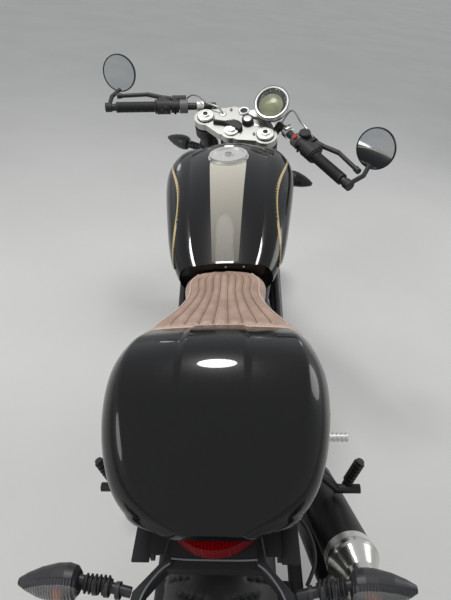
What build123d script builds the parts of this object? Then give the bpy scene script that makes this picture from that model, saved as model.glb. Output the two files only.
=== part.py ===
"""A scrambler motorcycle in cafe style, leaning on its side stand.

The machine is drawn upright in millimetres, with X to the rider's right, Y
forward and Z up. The origin is on the ground below the rear axle. The last
step leans every piece onto the stand, and first turns the steered pieces.
"""

from build123d import *
import math
import os

os.makedirs("parts", exist_ok=True)

# Stance
wheelbase = 1436.0
rake = 21.8
trail = 94.0
lean = 10.0
steer_rest = 27.0
centre_shift_x = 153.0
centre_shift_y = -697.6

# Clearances
seat_gap = 0.3
pin_gap = 0.4
disc_gap = 2.0

# Tyres and rims
rim_bead = 216.0
rim_flange = 230.0
tyre_wall = 9.0
rear_radius, rear_width, rear_crown = 315.0, 180.0, 95.0
front_radius, front_width, front_crown = 300.0, 120.0, 60.0
spoke_count = 10

# Hubs, discs and axles
axle_radius = 12.0
hub_radius = 34.0
hub_half = 34.0
rear_hub_half = 62.0
front_disc_radius, rear_disc_radius = 165.0, 122.0
disc_thickness = 5.0
front_disc_x, rear_disc_x = -66.0, 104.0
disc_holes = 15

# Chain drive
chain_pitch = 15.875
rear_teeth, front_teeth = 46, 15
chain_x = -105.0
front_sprocket_at = (590.0, 385.0)
plate_half = 7.0

# Swingarm
pivot_y, pivot_z = 500.0, 385.0
arm_x, arm_wall = 139.0, 27.0
axle_reach = 160.0

# Steering head and fork
head_low, head_high = 766.0, 944.0
fork_x, fork_ahead = 103.0, 24.1
fork_outer, stanchion = 27.0, 20.5
yoke_low, yoke_high = 735.0, 950.0
yoke_low_height, yoke_high_height = 28.0, 22.0
stem_radius = 17.0
fork_sleeve_low = 610.0

# Frame tubes
main_tube, brace_tube, rail_tube = 14.0, 10.0, 11.0
rail_z = 722.0

# Engine
crank_y, crank_z = 790.0, 390.0
cylinder_tilt = 15.0
case_half = 95.0

# Bodywork
tank_rear, cap_y, cap_radius = 568.0, 931.0, 50.0
tank_seat_z = 912.0
panel_skin = 2.0

# Shared places
rake_rad = math.radians(rake)
lean_rad = math.radians(lean)
steer_rad = math.radians(-steer_rest)
ahead_way = Vector(0, math.cos(rake_rad), math.sin(rake_rad))
stem_way = Vector(0, -math.sin(rake_rad), math.cos(rake_rad))
steering = Plane(origin=(0, wheelbase + trail, 0), x_dir=(1, 0, 0), z_dir=stem_way)
rear_centre = (0, 0, rear_radius)
across = Plane(origin=rear_centre, x_dir=(1, 0, 0), z_dir=(0, -1, 0))

# The front wheel hangs where its tyre touches the same ground, steered and leaned
lift = rear_crown * (1 - math.cos(lean_rad))
axle_dip = (math.sin(lean_rad) * math.cos(steer_rad)
            + math.cos(lean_rad) * math.sin(rake_rad) * math.sin(steer_rad))
ring_drop = (front_radius - front_crown) * math.sqrt(1 - axle_dip ** 2)
axle_up = ((ring_drop + front_crown - lift
            + math.sin(lean_rad) * fork_ahead * math.sin(steer_rad)) / math.cos(lean_rad)
           - fork_ahead * math.sin(rake_rad) * math.cos(steer_rad)) / math.cos(rake_rad)

# Where the drawn pieces go
stance = Pos(centre_shift_x, centre_shift_y, lift) * Rot(0, -lean, 0)
turned = (stance * steering.location * Rot(0, 0, -steer_rest)
          * steering.location.inverse())


def save(builder, label, place=stance):
    """Puts a finished piece on the leaning machine and writes it."""
    piece = place * builder.part
    piece.label = label
    export_step(piece, f"parts/{label}.step")


def bar(start, end, radius, mode=Mode.ADD):
    """Adds a round bar between two points to the part in hand."""
    start, end = Vector(start), Vector(end)
    with BuildSketch(Plane(origin=start, z_dir=end - start)) as ring:
        Circle(radius)
    extrude(ring.sketch, amount=(end - start).length, mode=mode)


def bent_pipe(points, radii, radius, mode=Mode.ADD):
    """Adds a pipe along straight runs joined by tangent arcs."""
    with BuildLine() as route:
        FilletPolyline(*points, radius=radii)
    start = route.line @ 0
    with BuildSketch(Plane(origin=start, z_dir=route.line % 0)) as ring:
        Circle(radius)
    sweep(ring.sketch, path=route.line, mode=mode)


def turned_shape(axis_plane, outline, mode=Mode.ADD):
    """Revolves an outline of (along, radius) points about a plane's normal."""
    side = Plane(origin=axis_plane.origin, x_dir=axis_plane.z_dir, z_dir=axis_plane.x_dir)
    with BuildSketch(side) as section:
        with BuildLine():
            Polyline(*outline, close=True)
        make_face()
    revolve(section.sketch, Axis(axis_plane.origin, axis_plane.z_dir), mode=mode)


def block(low, high, corner=0.0):
    """Adds an upright block between two corners, its plan's corners rounded."""
    low, high = Vector(low), Vector(high)
    size, middle = high - low, (low + high) / 2
    with BuildSketch(Plane(origin=(middle.X, middle.Y, low.Z))) as plan:
        if corner:
            RectangleRounded(size.X, size.Y, corner)
        else:
            Rectangle(size.X, size.Y)
    extrude(plan.sketch, amount=size.Z)


def side_plane(x, y=0, z=0):
    """A plane across the machine whose sketch runs forward and up."""
    return Plane(origin=(x, y, z), x_dir=(0, 1, 0), z_dir=(1, 0, 0))


def head_point(x, ahead, height):
    """A point given across, ahead of and up the steering axis."""
    return steering.from_local_coords(Vector(x, ahead, height))


front_centre = head_point(0, fork_ahead, axle_up)
front_across = Plane(origin=front_centre, x_dir=(1, 0, 0), z_dir=-ahead_way)


# Tyres: hollow carcasses with a round crown and stiff beads
def tyre(plane, radius, width, crown, bead_half):
    ring = radius - crown
    edge = width / 2 - 2
    shoulder = ring + math.sqrt(crown ** 2 - edge ** 2)
    inner_crown = crown - tyre_wall
    inner_edge = edge - tyre_wall
    inner_shoulder = ring + math.sqrt(inner_crown ** 2 - inner_edge ** 2)
    bead = rim_bead + seat_gap
    lip = rim_flange + 2
    outer = bead_half - seat_gap
    toe = outer - 16
    with BuildPart() as carcass:
        with BuildSketch(plane) as section:
            with BuildLine():
                Line((toe, bead), (outer, bead))
                Line((outer, bead), (outer, lip))
                Line((outer, lip), (edge, shoulder))
                ThreePointArc((edge, shoulder), (0, radius), (-edge, shoulder))
                Line((-edge, shoulder), (-outer, lip))
                Line((-outer, lip), (-outer, bead))
                Line((-outer, bead), (-toe, bead))
                Line((-toe, bead), (-inner_edge, inner_shoulder))
                ThreePointArc((-inner_edge, inner_shoulder), (0, radius - tyre_wall),
                              (inner_edge, inner_shoulder))
                Line((inner_edge, inner_shoulder), (toe, bead))
            make_face()
        revolve(section.sketch, Axis(plane.origin, (1, 0, 0)))
    return carcass


save(tyre(across, rear_radius, rear_width, rear_crown, 70.0), "rear_tyre")
save(tyre(front_across, front_radius, front_width, front_crown, 45.0), "front_tyre", turned)


# Cast rims: barrel, hub and tapered spokes in one casting
def rim(plane, bead_half, hub_half_width, bore):
    outer = bead_half + 7
    well = 188.0
    skin = 6.0
    with BuildPart() as casting:
        with BuildSketch(plane) as section:
            with BuildLine():
                Polyline(
                    (-outer, rim_flange), (-bead_half, rim_flange), (-bead_half, rim_bead),
                    (-bead_half + 18, rim_bead), (-bead_half + 24, well + skin),
                    (bead_half - 24, well + skin), (bead_half - 18, rim_bead),
                    (bead_half, rim_bead), (bead_half, rim_flange), (outer, rim_flange),
                    (outer, rim_bead - skin), (bead_half - 14, rim_bead - skin),
                    (bead_half - 26, well), (-bead_half + 26, well),
                    (-bead_half + 14, rim_bead - skin), (-outer, rim_bead - skin), close=True)
            make_face()
        revolve(section.sketch, Axis(plane.origin, (1, 0, 0)))
        with BuildSketch(side_plane(*plane.origin)) as hub:
            Circle(hub_radius)
        extrude(hub.sketch, amount=hub_half_width, both=True)
        for number in range(spoke_count):
            turn = math.radians(360 * number / spoke_count)
            way = Vector(0, math.cos(turn), math.sin(turn))
            root = Plane(origin=plane.origin + way * (hub_radius - 6), x_dir=(1, 0, 0), z_dir=way)
            with BuildSketch(root) as thick:
                RectangleRounded(34, 22, 5)
            with BuildSketch(root.offset(well - hub_radius + 8)) as thin:
                RectangleRounded(22, 15, 5)
            loft([thick.sketch, thin.sketch])
        with BuildSketch(side_plane(*plane.origin)) as hole:
            Circle(bore)
        extrude(hole.sketch, amount=hub_half_width + 1, both=True, mode=Mode.SUBTRACT)
    return casting


save(rim(across, 70.0, rear_hub_half, axle_radius + pin_gap), "rear_rim")
save(rim(front_across, 45.0, hub_half, axle_radius + pin_gap), "front_rim", turned)


# Brake discs: drilled rotors on armed carriers
def disc(centre, x, radius, ring_width, carrier_from, carrier_bore):
    plate = side_plane(*(Vector(centre) + Vector(x, 0, 0)))
    inner = radius - ring_width
    with BuildPart() as rotor:
        with BuildSketch(plate) as ring:
            Circle(radius)
            Circle(inner, mode=Mode.SUBTRACT)
            with PolarLocations((radius + inner) / 2, disc_holes):
                Circle(4, mode=Mode.SUBTRACT)
        extrude(ring.sketch, amount=disc_thickness / 2, both=True)
        with BuildSketch(plate) as arms:
            Circle(48)
            with PolarLocations((inner + 44) / 2, 5):
                Rectangle(inner - 38, 18)
        extrude(arms.sketch, amount=disc_thickness / 2 - 0.5, both=True)
        reach = carrier_from - x
        with BuildSketch(plate) as boss:
            Circle(44)
        extrude(boss.sketch, amount=reach)
        with BuildSketch(plate) as hole:
            Circle(carrier_bore)
        extrude(hole.sketch, amount=abs(reach) + disc_thickness, both=True, mode=Mode.SUBTRACT)
    return rotor


save(disc(rear_centre, rear_disc_x, rear_disc_radius, 30.0, rear_hub_half, 20.0), "rear_disc")
save(disc(front_centre, front_disc_x, front_disc_radius, 34.0, -hub_half, 18.0),
     "front_disc", turned)


# Rear sprocket: teeth run between the chain's plates
rear_pitch = chain_pitch / (2 * math.sin(math.pi / rear_teeth))
front_pitch = chain_pitch / (2 * math.sin(math.pi / front_teeth))
tooth_tip = 3.0
wheel_side = side_plane(chain_x, 0, rear_radius)
with BuildPart() as rear_sprocket:
    with BuildSketch(wheel_side) as teeth:
        Circle(rear_pitch + tooth_tip)
        with PolarLocations(rear_pitch + 1, rear_teeth):
            RegularPolygon(5, 6, mode=Mode.SUBTRACT)
        with PolarLocations(76, 6):
            Circle(15, mode=Mode.SUBTRACT)
        Circle(20, mode=Mode.SUBTRACT)
    extrude(teeth.sketch, amount=3, both=True)
    with BuildSketch(wheel_side) as drum:
        Circle(56)
        Circle(20, mode=Mode.SUBTRACT)
    extrude(drum.sketch, amount=-chain_x - rear_hub_half)
save(rear_sprocket, "rear_sprocket")


# Chain: a channel closed over the teeth, with an outer plate on every second link
run_y, run_z = front_sprocket_at[0], front_sprocket_at[1] - rear_radius
run_length = math.hypot(run_y, run_z)
run_angle = math.atan2(run_z, run_y)
wrap = math.acos((rear_pitch - front_pitch) / run_length)


def on_sprocket(front, angle, extra):
    """A point on a sprocket's pitch circle, moved outwards by extra."""
    radius = (front_pitch if front else rear_pitch) + extra
    y, z = (run_y, run_z) if front else (0, 0)
    return (y + radius * math.cos(angle), z + radius * math.sin(angle))


def chain_loop(extra):
    """The chain's closed line, moved outwards by extra."""
    up, down = run_angle + wrap, run_angle - wrap
    with BuildSketch(wheel_side) as loop:
        with BuildLine():
            Line(on_sprocket(False, up, extra), on_sprocket(True, up, extra))
            ThreePointArc(on_sprocket(True, up, extra), on_sprocket(True, run_angle, extra),
                          on_sprocket(True, down, extra))
            Line(on_sprocket(True, down, extra), on_sprocket(False, down, extra))
            ThreePointArc(on_sprocket(False, down, extra),
                          on_sprocket(False, run_angle + math.pi, extra),
                          on_sprocket(False, up, extra))
        make_face()
    return loop.sketch


def chain_point(distance):
    """The pitch line's point and heading at a distance along the chain."""
    straight = math.sqrt(run_length ** 2 - (rear_pitch - front_pitch) ** 2)
    front_arc = front_pitch * 2 * wrap
    rear_arc = rear_pitch * 2 * (math.pi - wrap)
    up, down = run_angle + wrap, run_angle - wrap
    if distance < straight:
        start, end = on_sprocket(False, up, 0), on_sprocket(True, up, 0)
        share = distance / straight
        return (start[0] + (end[0] - start[0]) * share, start[1] + (end[1] - start[1]) * share,
                up - math.pi / 2)
    distance -= straight
    if distance < front_arc:
        angle = up - distance / front_pitch
        return (*on_sprocket(True, angle, 0), angle - math.pi / 2)
    distance -= front_arc
    if distance < straight:
        start, end = on_sprocket(True, down, 0), on_sprocket(False, down, 0)
        share = distance / straight
        return (start[0] + (end[0] - start[0]) * share, start[1] + (end[1] - start[1]) * share,
                down - math.pi / 2)
    distance -= straight
    angle = down - distance / rear_pitch
    return (*on_sprocket(False, angle, 0), angle - math.pi / 2)


chain_length = (2 * math.sqrt(run_length ** 2 - (rear_pitch - front_pitch) ** 2)
                + front_pitch * 2 * wrap + rear_pitch * 2 * (math.pi - wrap))
outer_links = round(chain_length / chain_pitch / 2)
with BuildPart() as chain:
    extrude(chain_loop(plate_half - 1.5), amount=7.5, both=True)
    extrude(chain_loop(1.5 - plate_half), amount=8, both=True, mode=Mode.SUBTRACT)
    extrude(chain_loop(tooth_tip + 1), amount=5, both=True, mode=Mode.SUBTRACT)
    with BuildSketch(wheel_side) as plates:
        for number in range(outer_links):
            y, z, heading = chain_point(chain_length * (number + 0.5) / outer_links)
            with Locations(Location((y, z, 0), math.degrees(heading))):
                SlotCenterToCenter(chain_pitch, 2 * plate_half)
    extrude(plates.sketch, amount=9.5, both=True)
    extrude(plates.sketch, amount=5, both=True, mode=Mode.SUBTRACT)
save(chain, "chain")


# Frame: trellis sides, head tube, seat rails and the tubes that tie them
def sides(*point):
    """A frame point on the right and on the left."""
    x, y, z = point
    return [(x, y, z), (-x, y, z)]


head_joint = sides(22, 1190, 816)
low_joint = sides(24, 1238, 732)
tank_joint = sides(100, 1010, 735)
knee_joint = sides(100, 960, 592)
top_joint = sides(112, 780, 725)
case_joint = sides(112, 800, 545)
rear_joint = sides(118, 570, 610)
pivot_joint = sides(132, 512, 420)
rail_front = sides(82, 560, rail_z)
rail_mid = sides(86, 300, rail_z)
rail_rear = sides(64, 90, rail_z)

# Tubes as (start, end, radius)
frame_tubes = [
    (head_joint, tank_joint, main_tube), (tank_joint, top_joint, main_tube),
    (top_joint, rear_joint, main_tube), (rear_joint, pivot_joint, main_tube),
    (low_joint, knee_joint, main_tube), (knee_joint, case_joint, main_tube),
    (low_joint, tank_joint, brace_tube), (tank_joint, knee_joint, brace_tube),
    (knee_joint, top_joint, brace_tube), (top_joint, case_joint, brace_tube),
    (case_joint, rear_joint, brace_tube), (top_joint, rail_front, brace_tube),
    (rear_joint, rail_mid, brace_tube), (rail_front, rail_mid, rail_tube),
    (rail_mid, rail_rear, rail_tube), (rear_joint, rail_front, brace_tube),
]
cross_tube = 8.0
mount_front, mount_rear = (1010, 735), (600, rail_z + 0.5)
cross_pairs = [tank_joint, rear_joint, sides(86, *mount_rear), sides(85, 310, rail_z),
               sides(65, 98, rail_z)]
head_radius = 29.0
shock_low, shock_top = Vector(-152, 330, 396), Vector(-140, 420, 676)
shock_pin = 8.0
with BuildPart() as frame:
    bar(head_point(0, 0, head_low), head_point(0, 0, head_high), head_radius)
    for start, end, radius in frame_tubes:
        for side in (0, 1):
            bar(start[side], end[side], radius)
    for right, left in cross_pairs:
        bar(right, left, cross_tube)
    for side in (1, -1):
        with BuildSketch(side_plane(side * 132)) as plate:
            with BuildLine():
                Polyline((486, 440), (536, 452), (566, 400), (552, 345), (500, 340),
                         (470, 370), close=True)
            make_face()
        extrude(plate.sketch, amount=6, both=True)
    bar(head_point(0, 0, head_low - 1), head_point(0, 0, head_high + 1),
        stem_radius + pin_gap, Mode.SUBTRACT)
    bar((-150, pivot_y, pivot_z), (150, pivot_y, pivot_z), axle_radius + pin_gap, Mode.SUBTRACT)
    bar(shock_top - Vector(-44, 0, 0), shock_top - Vector(16, 0, 0), shock_pin)
save(frame, "frame")


# Swingarm: two tapered arms, a bridge, the pivot pin and the rear axle
with BuildPart() as swingarm:
    for side in (1, -1):
        arm = []
        for x, y, z, wide, tall in ((84, pivot_y + 18, pivot_z + 2, 26, 40),
                                    (88, 470, 381, 28, 42), (132, 250, 350, 26, 62),
                                    (arm_x, -30, 311, arm_wall, 46)):
            with BuildSketch(Plane(origin=(side * x, y, z), x_dir=(1, 0, 0),
                                   z_dir=(0, -1, 0))) as section:
                RectangleRounded(wide, tall, 6)
            arm.append(section.sketch)
        loft(arm, ruled=True)
        bar((side * 70, pivot_y, pivot_z), (side * 104, pivot_y, pivot_z), 24)
        bar((side * 96, 0, rear_radius), (side * 152, 0, rear_radius), 27)
    bar((-100, 398, 371), (100, 398, 371), 27)
    bar((-140, pivot_y, pivot_z), (140, pivot_y, pivot_z), axle_radius)
    bar(shock_low + Vector(34, 0, -14), shock_low + Vector(20, 0, 0), 10)
    bar(shock_low + Vector(22, 0, 0), shock_low - Vector(16, 0, 0), shock_pin)
    bar((-axle_reach, 0, rear_radius), (axle_reach, 0, rear_radius), axle_radius)
    with BuildSketch(side_plane(0, 0, rear_radius)) as room:
        Circle(60)
    extrude(room.sketch, amount=arm_x - arm_wall / 2 - 1, both=True, mode=Mode.SUBTRACT)
    bar((-axle_reach, 0, rear_radius), (axle_reach, 0, rear_radius), axle_radius)
    # A tab on the right arm carries the rear caliper
    block((rear_disc_x + 20 + seat_gap, 34, 330), (rear_disc_x + 30, 76, 412), 2)
save(swingarm, "swingarm")


# Side stand's hinge, and where its foot stands on the ground once the machine leans
stand_at = Vector(-122, 636, 240)
stand_foot_x, stand_foot_y = -262.0, 684.0
stand_lug, stand_pin = 11.0, 6.0
stand_sole = Vector(stand_foot_x, stand_foot_y,
                    (-lift - stand_foot_x * math.sin(lean_rad)) / math.cos(lean_rad))
stand_up = Vector(-26, -236, -28)
stand_axis = (stand_sole - stand_at).cross(stand_up).normalized()
ground_up = Vector(math.sin(lean_rad), 0, math.cos(lean_rad))


# Engine: cases, two finned cylinders at a right angle, round covers
crank = (0, crank_y, crank_z)
front_way = Vector(0, math.cos(math.radians(cylinder_tilt)), math.sin(math.radians(cylinder_tilt)))
rear_way = Vector(0, -front_way.Z, front_way.Y)
front_deck, rear_deck, deck_half = 120.0, 126.0, 70.0
barrel_end, head_end, fin_step = 205.0, 292.0, 12.0


def deck(way, reach):
    """The two ends of a cylinder's flat seat on the case, as (y, z), rear to front."""
    middle = Vector(crank) + way * reach
    along = Vector(0, way.Z, -way.Y) * deck_half
    return [((middle + along * end).Y, (middle + along * end).Z) for end in (-1, 1)]


with BuildPart() as crankcase:
    with BuildSketch(Plane.YZ) as outline:
        with BuildLine():
            Polyline((555, 320), (560, 455), (640, 490), *deck(rear_way, rear_deck),
                     *deck(front_way, front_deck), (902, 300), (858, 258), (640, 236),
                     (575, 262), close=True)
        make_face()
        fillet(outline.vertices(), 16)
    extrude(outline.sketch, amount=case_half, both=True)
    with BuildSketch(Plane.YZ) as lobe:
        with BuildLine():
            Polyline((468, 350), (468, 418), (570, 440), (570, 318), (500, 330), close=True)
        make_face()
    extrude(lobe.sketch, amount=62, both=True)
    bar((-80, pivot_y, pivot_z), (80, pivot_y, pivot_z), axle_radius + pin_gap, Mode.SUBTRACT)
    bar((chain_x + 2, *front_sprocket_at), (-80, *front_sprocket_at), 24)
    with BuildSketch(side_plane(chain_x, *front_sprocket_at)) as teeth:
        Circle(front_pitch + tooth_tip - 1)
    extrude(teeth.sketch, amount=3, both=True)
    # The side stand's pin with its head, on a boss at the lower left edge
    block((-101, 590, 240), (10 - case_half, 660, 300))
    bar(stand_at - stand_axis * (stand_lug + 20), stand_at + stand_axis * (stand_lug + 2), stand_pin)
    bar(stand_at + stand_axis * (stand_lug + seat_gap), stand_at + stand_axis * (stand_lug + 5), 11)
    bar(stand_at - stand_axis * 40, stand_at - stand_axis * (stand_lug + seat_gap), 13)
save(crankcase, "crankcase")


def cylinder(way, start):
    """Adds a finned barrel and head along a way from the crankshaft."""
    base = Plane(origin=crank, x_dir=(1, 0, 0), z_dir=way)
    with BuildSketch(base.offset(start)) as sleeve:
        RectangleRounded(118, 112, 30)
    extrude(sleeve.sketch, amount=barrel_end - start)
    with BuildSketch(base.offset(barrel_end)) as head:
        RectangleRounded(140, 118, 24)
    extrude(head.sketch, amount=head_end - barrel_end)
    fin_count = int((head_end - 14 - start - 8) / fin_step)
    for number in range(fin_count):
        with BuildSketch(base.offset(start + 10 + fin_step * number)) as fin:
            RectangleRounded(158, 146, 22)
        extrude(fin.sketch, amount=3.5)
    with BuildSketch(base.offset(head_end)) as cover:
        RectangleRounded(112, 84, 16)
    extrude(cover.sketch, amount=12)


with BuildPart() as cylinders:
    cylinder(front_way, front_deck + seat_gap)
    cylinder(rear_way, rear_deck + seat_gap)
save(cylinders, "cylinders")


# Engine covers: clutch and belts on the right, alternator and sprocket on the left
with BuildPart() as engine_covers:
    cover_side = side_plane(case_half + seat_gap)
    with BuildSketch(cover_side) as base:
        with Locations((668, 372)):
            Circle(92)
    extrude(base.sketch, amount=38)
    with BuildSketch(cover_side.offset(38)) as face:
        with Locations((668, 372)):
            Circle(70)
    extrude(face.sketch, amount=16, taper=20)
    with BuildSketch(side_plane(-case_half - seat_gap)) as alternator:
        with Locations((crank_y, crank_z)):
            Circle(82)
    extrude(alternator.sketch, amount=-44)
    for way, start in ((front_way, 140.0), (rear_way, 150.0)):
        plate = Plane(origin=way * ((start + head_end) / 2)
                      + Vector(79 + seat_gap, crank_y, crank_z), x_dir=way, z_dir=(1, 0, 0))
        with BuildSketch(plate) as outline:
            SlotOverall(head_end - start, 84)
        extrude(outline.sketch, amount=15)
    with BuildSketch(side_plane(-118)) as guard:
        with Locations(front_sprocket_at):
            Circle(62)
        with Locations((front_sprocket_at[0] - 62, front_sprocket_at[1])):
            Rectangle(84, 130, mode=Mode.SUBTRACT)
    extrude(guard.sketch, amount=-5)
    for z in (345, 425):
        bar((-118, 643, z), (-case_half - seat_gap, 643, z), 6)
save(engine_covers, "engine_covers")


# Body sections: a flat floor, bulging sides and a crowned top
def body_section(y, floor_half, floor, half, waist, top, grow=0.0, shoulder_share=0.62):
    """A closed outline across the machine at y, wider by grow all round."""
    floor_half, half = floor_half + grow, half + grow
    floor, top = floor - grow, top + grow
    shoulder = shoulder_share * half
    shoulder_z = top - 0.17 * (top - waist)
    with BuildSketch(Plane(origin=(0, y, 0), x_dir=(1, 0, 0), z_dir=(0, -1, 0))) as section:
        with BuildLine():
            Line((-floor_half, floor), (floor_half, floor))
            ThreePointArc((floor_half, floor), (half, waist), (shoulder, shoulder_z))
            ThreePointArc((shoulder, shoulder_z), (0, top), (-shoulder, shoulder_z))
            ThreePointArc((-shoulder, shoulder_z), (-half, waist), (-floor_half, floor))
        make_face()
    return section.sketch


# Fuel tank sections as (y, floor half width, floor, half width, waist, top)
tank_sections = [
    (tank_rear, 78, 748, 104, 786, 822), (690, 108, 756, 140, 800, 868),
    (800, 114, 765, 155, 808, 900), (930, 118, 775, 167, 814, 918),
    (1035, 108, 785, 155, 820, 912), (1098, 74, 796, 112, 826, 880),
]
lens = [(592, 792), (830, 884), (1082, 846), (840, 772)]
with BuildPart() as tank:
    loft([body_section(*row) for row in tank_sections])
    with BuildSketch(Plane.XY.offset(tank_seat_z)) as flat:
        with Locations((0, cap_y)):
            Circle(cap_radius + 4)
    extrude(flat.sketch, amount=40, mode=Mode.SUBTRACT)
    with BuildSketch(Plane.XY.offset(tank_seat_z)) as neck:
        with Locations((0, cap_y)):
            Circle(28)
    extrude(neck.sketch, amount=-55, mode=Mode.SUBTRACT)
    # Rubber feet down to the frame's cross tubes
    for (y, z), reach in ((mount_front, 60), (mount_rear, 40)):
        for x in (-38, 38):
            bar((x, y, z + cross_tube + seat_gap), (x, y, z + reach), 13)
save(tank, "fuel_tank")

skin_sections = [(row[0] + grow, *row[1:]) for row, grow in
                 zip(tank_sections, (-4, 0, 0, 0, 0, 4))]
with BuildPart() as tank_skin:
    loft([body_section(*row, panel_skin) for row in skin_sections])
    add(tank.part, mode=Mode.SUBTRACT)
with BuildPart() as lens_blocks:
    for side in (1, -1):
        with BuildSketch(side_plane(side * 60)) as outline:
            with BuildLine():
                ThreePointArc(lens[0], lens[1], lens[2])
                ThreePointArc(lens[2], lens[3], lens[0])
            make_face()
        extrude(outline.sketch, amount=side * 200)
with BuildPart() as tank_panels:
    add(tank_skin.part)
    add(lens_blocks.part, mode=Mode.INTERSECT)
save(tank_panels, "tank_panels")

# Filler: a flange on the tank and a hinged lid
flange_top = tank_seat_z + 4.0
with BuildPart() as filler_ring:
    with BuildSketch(Plane.XY.offset(tank_seat_z)) as ring:
        with Locations((0, cap_y)):
            Circle(cap_radius + 3.5)
            Circle(29, mode=Mode.SUBTRACT)
    extrude(ring.sketch, amount=flange_top - tank_seat_z)
save(filler_ring, "filler_ring")

hinge_y, hinge_z = cap_y + cap_radius + 3, flange_top + 6.0
with BuildPart() as filler_cap:
    with BuildSketch(Plane.XY.offset(flange_top + seat_gap)) as disk:
        with Locations((0, cap_y)):
            Circle(cap_radius)
    extrude(disk.sketch, amount=4.5)
    with BuildSketch(Plane.XY.offset(flange_top + seat_gap + 4.5)) as rim_ring:
        with Locations((0, cap_y)):
            Circle(cap_radius)
            Circle(cap_radius - 7, mode=Mode.SUBTRACT)
    extrude(rim_ring.sketch, amount=3)
    with BuildSketch(Plane.XY.offset(flange_top + seat_gap + 4.5)) as lock:
        with Locations((0, cap_y)):
            SlotCenterToCenter(16, 18)
    extrude(lock.sketch, amount=3)
    bar((-12, hinge_y, hinge_z), (12, hinge_y, hinge_z), 3.2)
    with BuildSketch(Plane.XY.offset(hinge_z - 2)) as ear:
        with Locations((0, hinge_y - 5)):
            Rectangle(18, 10)
    extrude(ear.sketch, amount=3.5)
save(filler_cap, "filler_cap")


# Seat and the cowl behind it, both on the seat rails
seat_floor = rail_z + rail_tube + seat_gap
seat_front, seat_rear = 565.0, 342.0
seat_sections = [
    (seat_front, 26, seat_floor + 34, 40, 790, 806), (535, 56, seat_floor + 20, 70, 788, 806),
    (470, 72, seat_floor, 88, 786, 808), (420, 94, seat_floor, 114, 790, 814),
    (380, 116, seat_floor, 139, 796, 822), (seat_rear, 126, seat_floor, 149, 804, 832),
]


def level_floor(front, rear):
    """Cuts the part in hand flat on the seat rails between two stations."""
    with BuildSketch(Plane.XY.offset(seat_floor)) as under:
        with Locations((0, (front + rear) / 2)):
            Rectangle(400, front - rear)
    extrude(under.sketch, amount=-60, mode=Mode.SUBTRACT)


with BuildPart() as seat:
    loft([body_section(*row, shoulder_share=0.8) for row in seat_sections])
    level_floor(seat_front + 10, seat_rear - 10)
save(seat, "seat")

cowl_front = seat_rear - 2.0
cowl_sections = [
    (cowl_front, 112, seat_floor, 150, 812, 846), (285, 110, seat_floor, 163, 828, 882),
    (225, 114, seat_floor, 171, 836, 897), (160, 112, seat_floor, 168, 828, 886),
    (100, 98, seat_floor, 154, 812, 855), (55, 74, seat_floor + 5, 130, 794, 822),
    (26, 50, seat_floor + 10, 93, 780, 800), (7, 24, seat_floor + 16, 46, 770, 783),
]
with BuildPart() as cowl:
    loft([body_section(*row, shoulder_share=0.8) for row in cowl_sections])
    level_floor(cowl_front + 10, 0)
save(cowl, "seat_cowl")


def beam(stations):
    """Adds a straight-sided beam through (x, y, z, wide, tall) stations along Y."""
    faces = []
    for x, y, z, wide, tall in stations:
        with BuildSketch(Plane(origin=(x, y, z), x_dir=(1, 0, 0), z_dir=(0, -1, 0))) as section:
            RectangleRounded(wide, tall, min(wide, tall) * 0.22)
        faces.append(section.sketch)
    loft(faces, ruled=True)


# Under the seat and tank: battery box, airbox with its two intakes, oil cooler
with BuildPart() as battery_box:
    block((-84, 400, 600), (84, 540, rail_z - rail_tube - seat_gap), 14)
save(battery_box, "battery_box")

with BuildPart() as airbox:
    block((-70, 826, 566), (70, 936, 656), 18)
    bar((0, 796.3, 649.8), (0, 836, 660), 22)
    bent_pipe([(0, 1011.4, 525.4), (0, 1000, 574), (0, 925, 606)], 24, 22)
save(airbox, "airbox")

with BuildPart() as oil_cooler:
    block((-92, 1112, 566), (92, 1124, 650), 3)
    for number in range(11):
        block((-84, 1109, 570 + 7 * number), (84, 1127, 573 + 7 * number))
    block((-96, 1108, 564), (-84, 1128, 652), 3)
    block((84, 1108, 564), (96, 1128, 652), 3)
    for side in (1, -1):
        bar((side * 60, 1118, 648), (side * 58, 1119, 650.5), 6)
save(oil_cooler, "oil_cooler")


# Rear shock: damper, spring coils and two eyes over their pins
shock_way = (shock_top - shock_low).normalized()
shock_length = (shock_top - shock_low).length
coil_count, coil_wire, coil_mean = 9, 5.5, 27.0
with BuildPart() as shock:
    bar(shock_low, shock_top, 15)
    bar(shock_low + shock_way * 120, shock_low + shock_way * 262, 22)
    bar(shock_low + shock_way * 34, shock_low + shock_way * 44, 33)
    bar(shock_low + shock_way * 232, shock_low + shock_way * 244, 33)
    for number in range(coil_count):
        level = 54 + number * (222 - 54) / (coil_count - 1)
        seat_plane = Plane(origin=shock_low + shock_way * level, z_dir=shock_way)
        turned_shape(seat_plane, [(-coil_wire, 14), (-coil_wire, coil_mean), (0, coil_mean + coil_wire),
                                  (coil_wire, coil_mean), (coil_wire, 14)])
    for eye in (shock_low, shock_top):
        bar(eye - Vector(13, 0, 0), eye + Vector(13, 0, 0), 18)
    for eye in (shock_low, shock_top):
        bar(eye - Vector(30, 0, 0), eye + Vector(60, 0, 0), shock_pin + pin_gap, Mode.SUBTRACT)
save(shock, "rear_shock")


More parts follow.
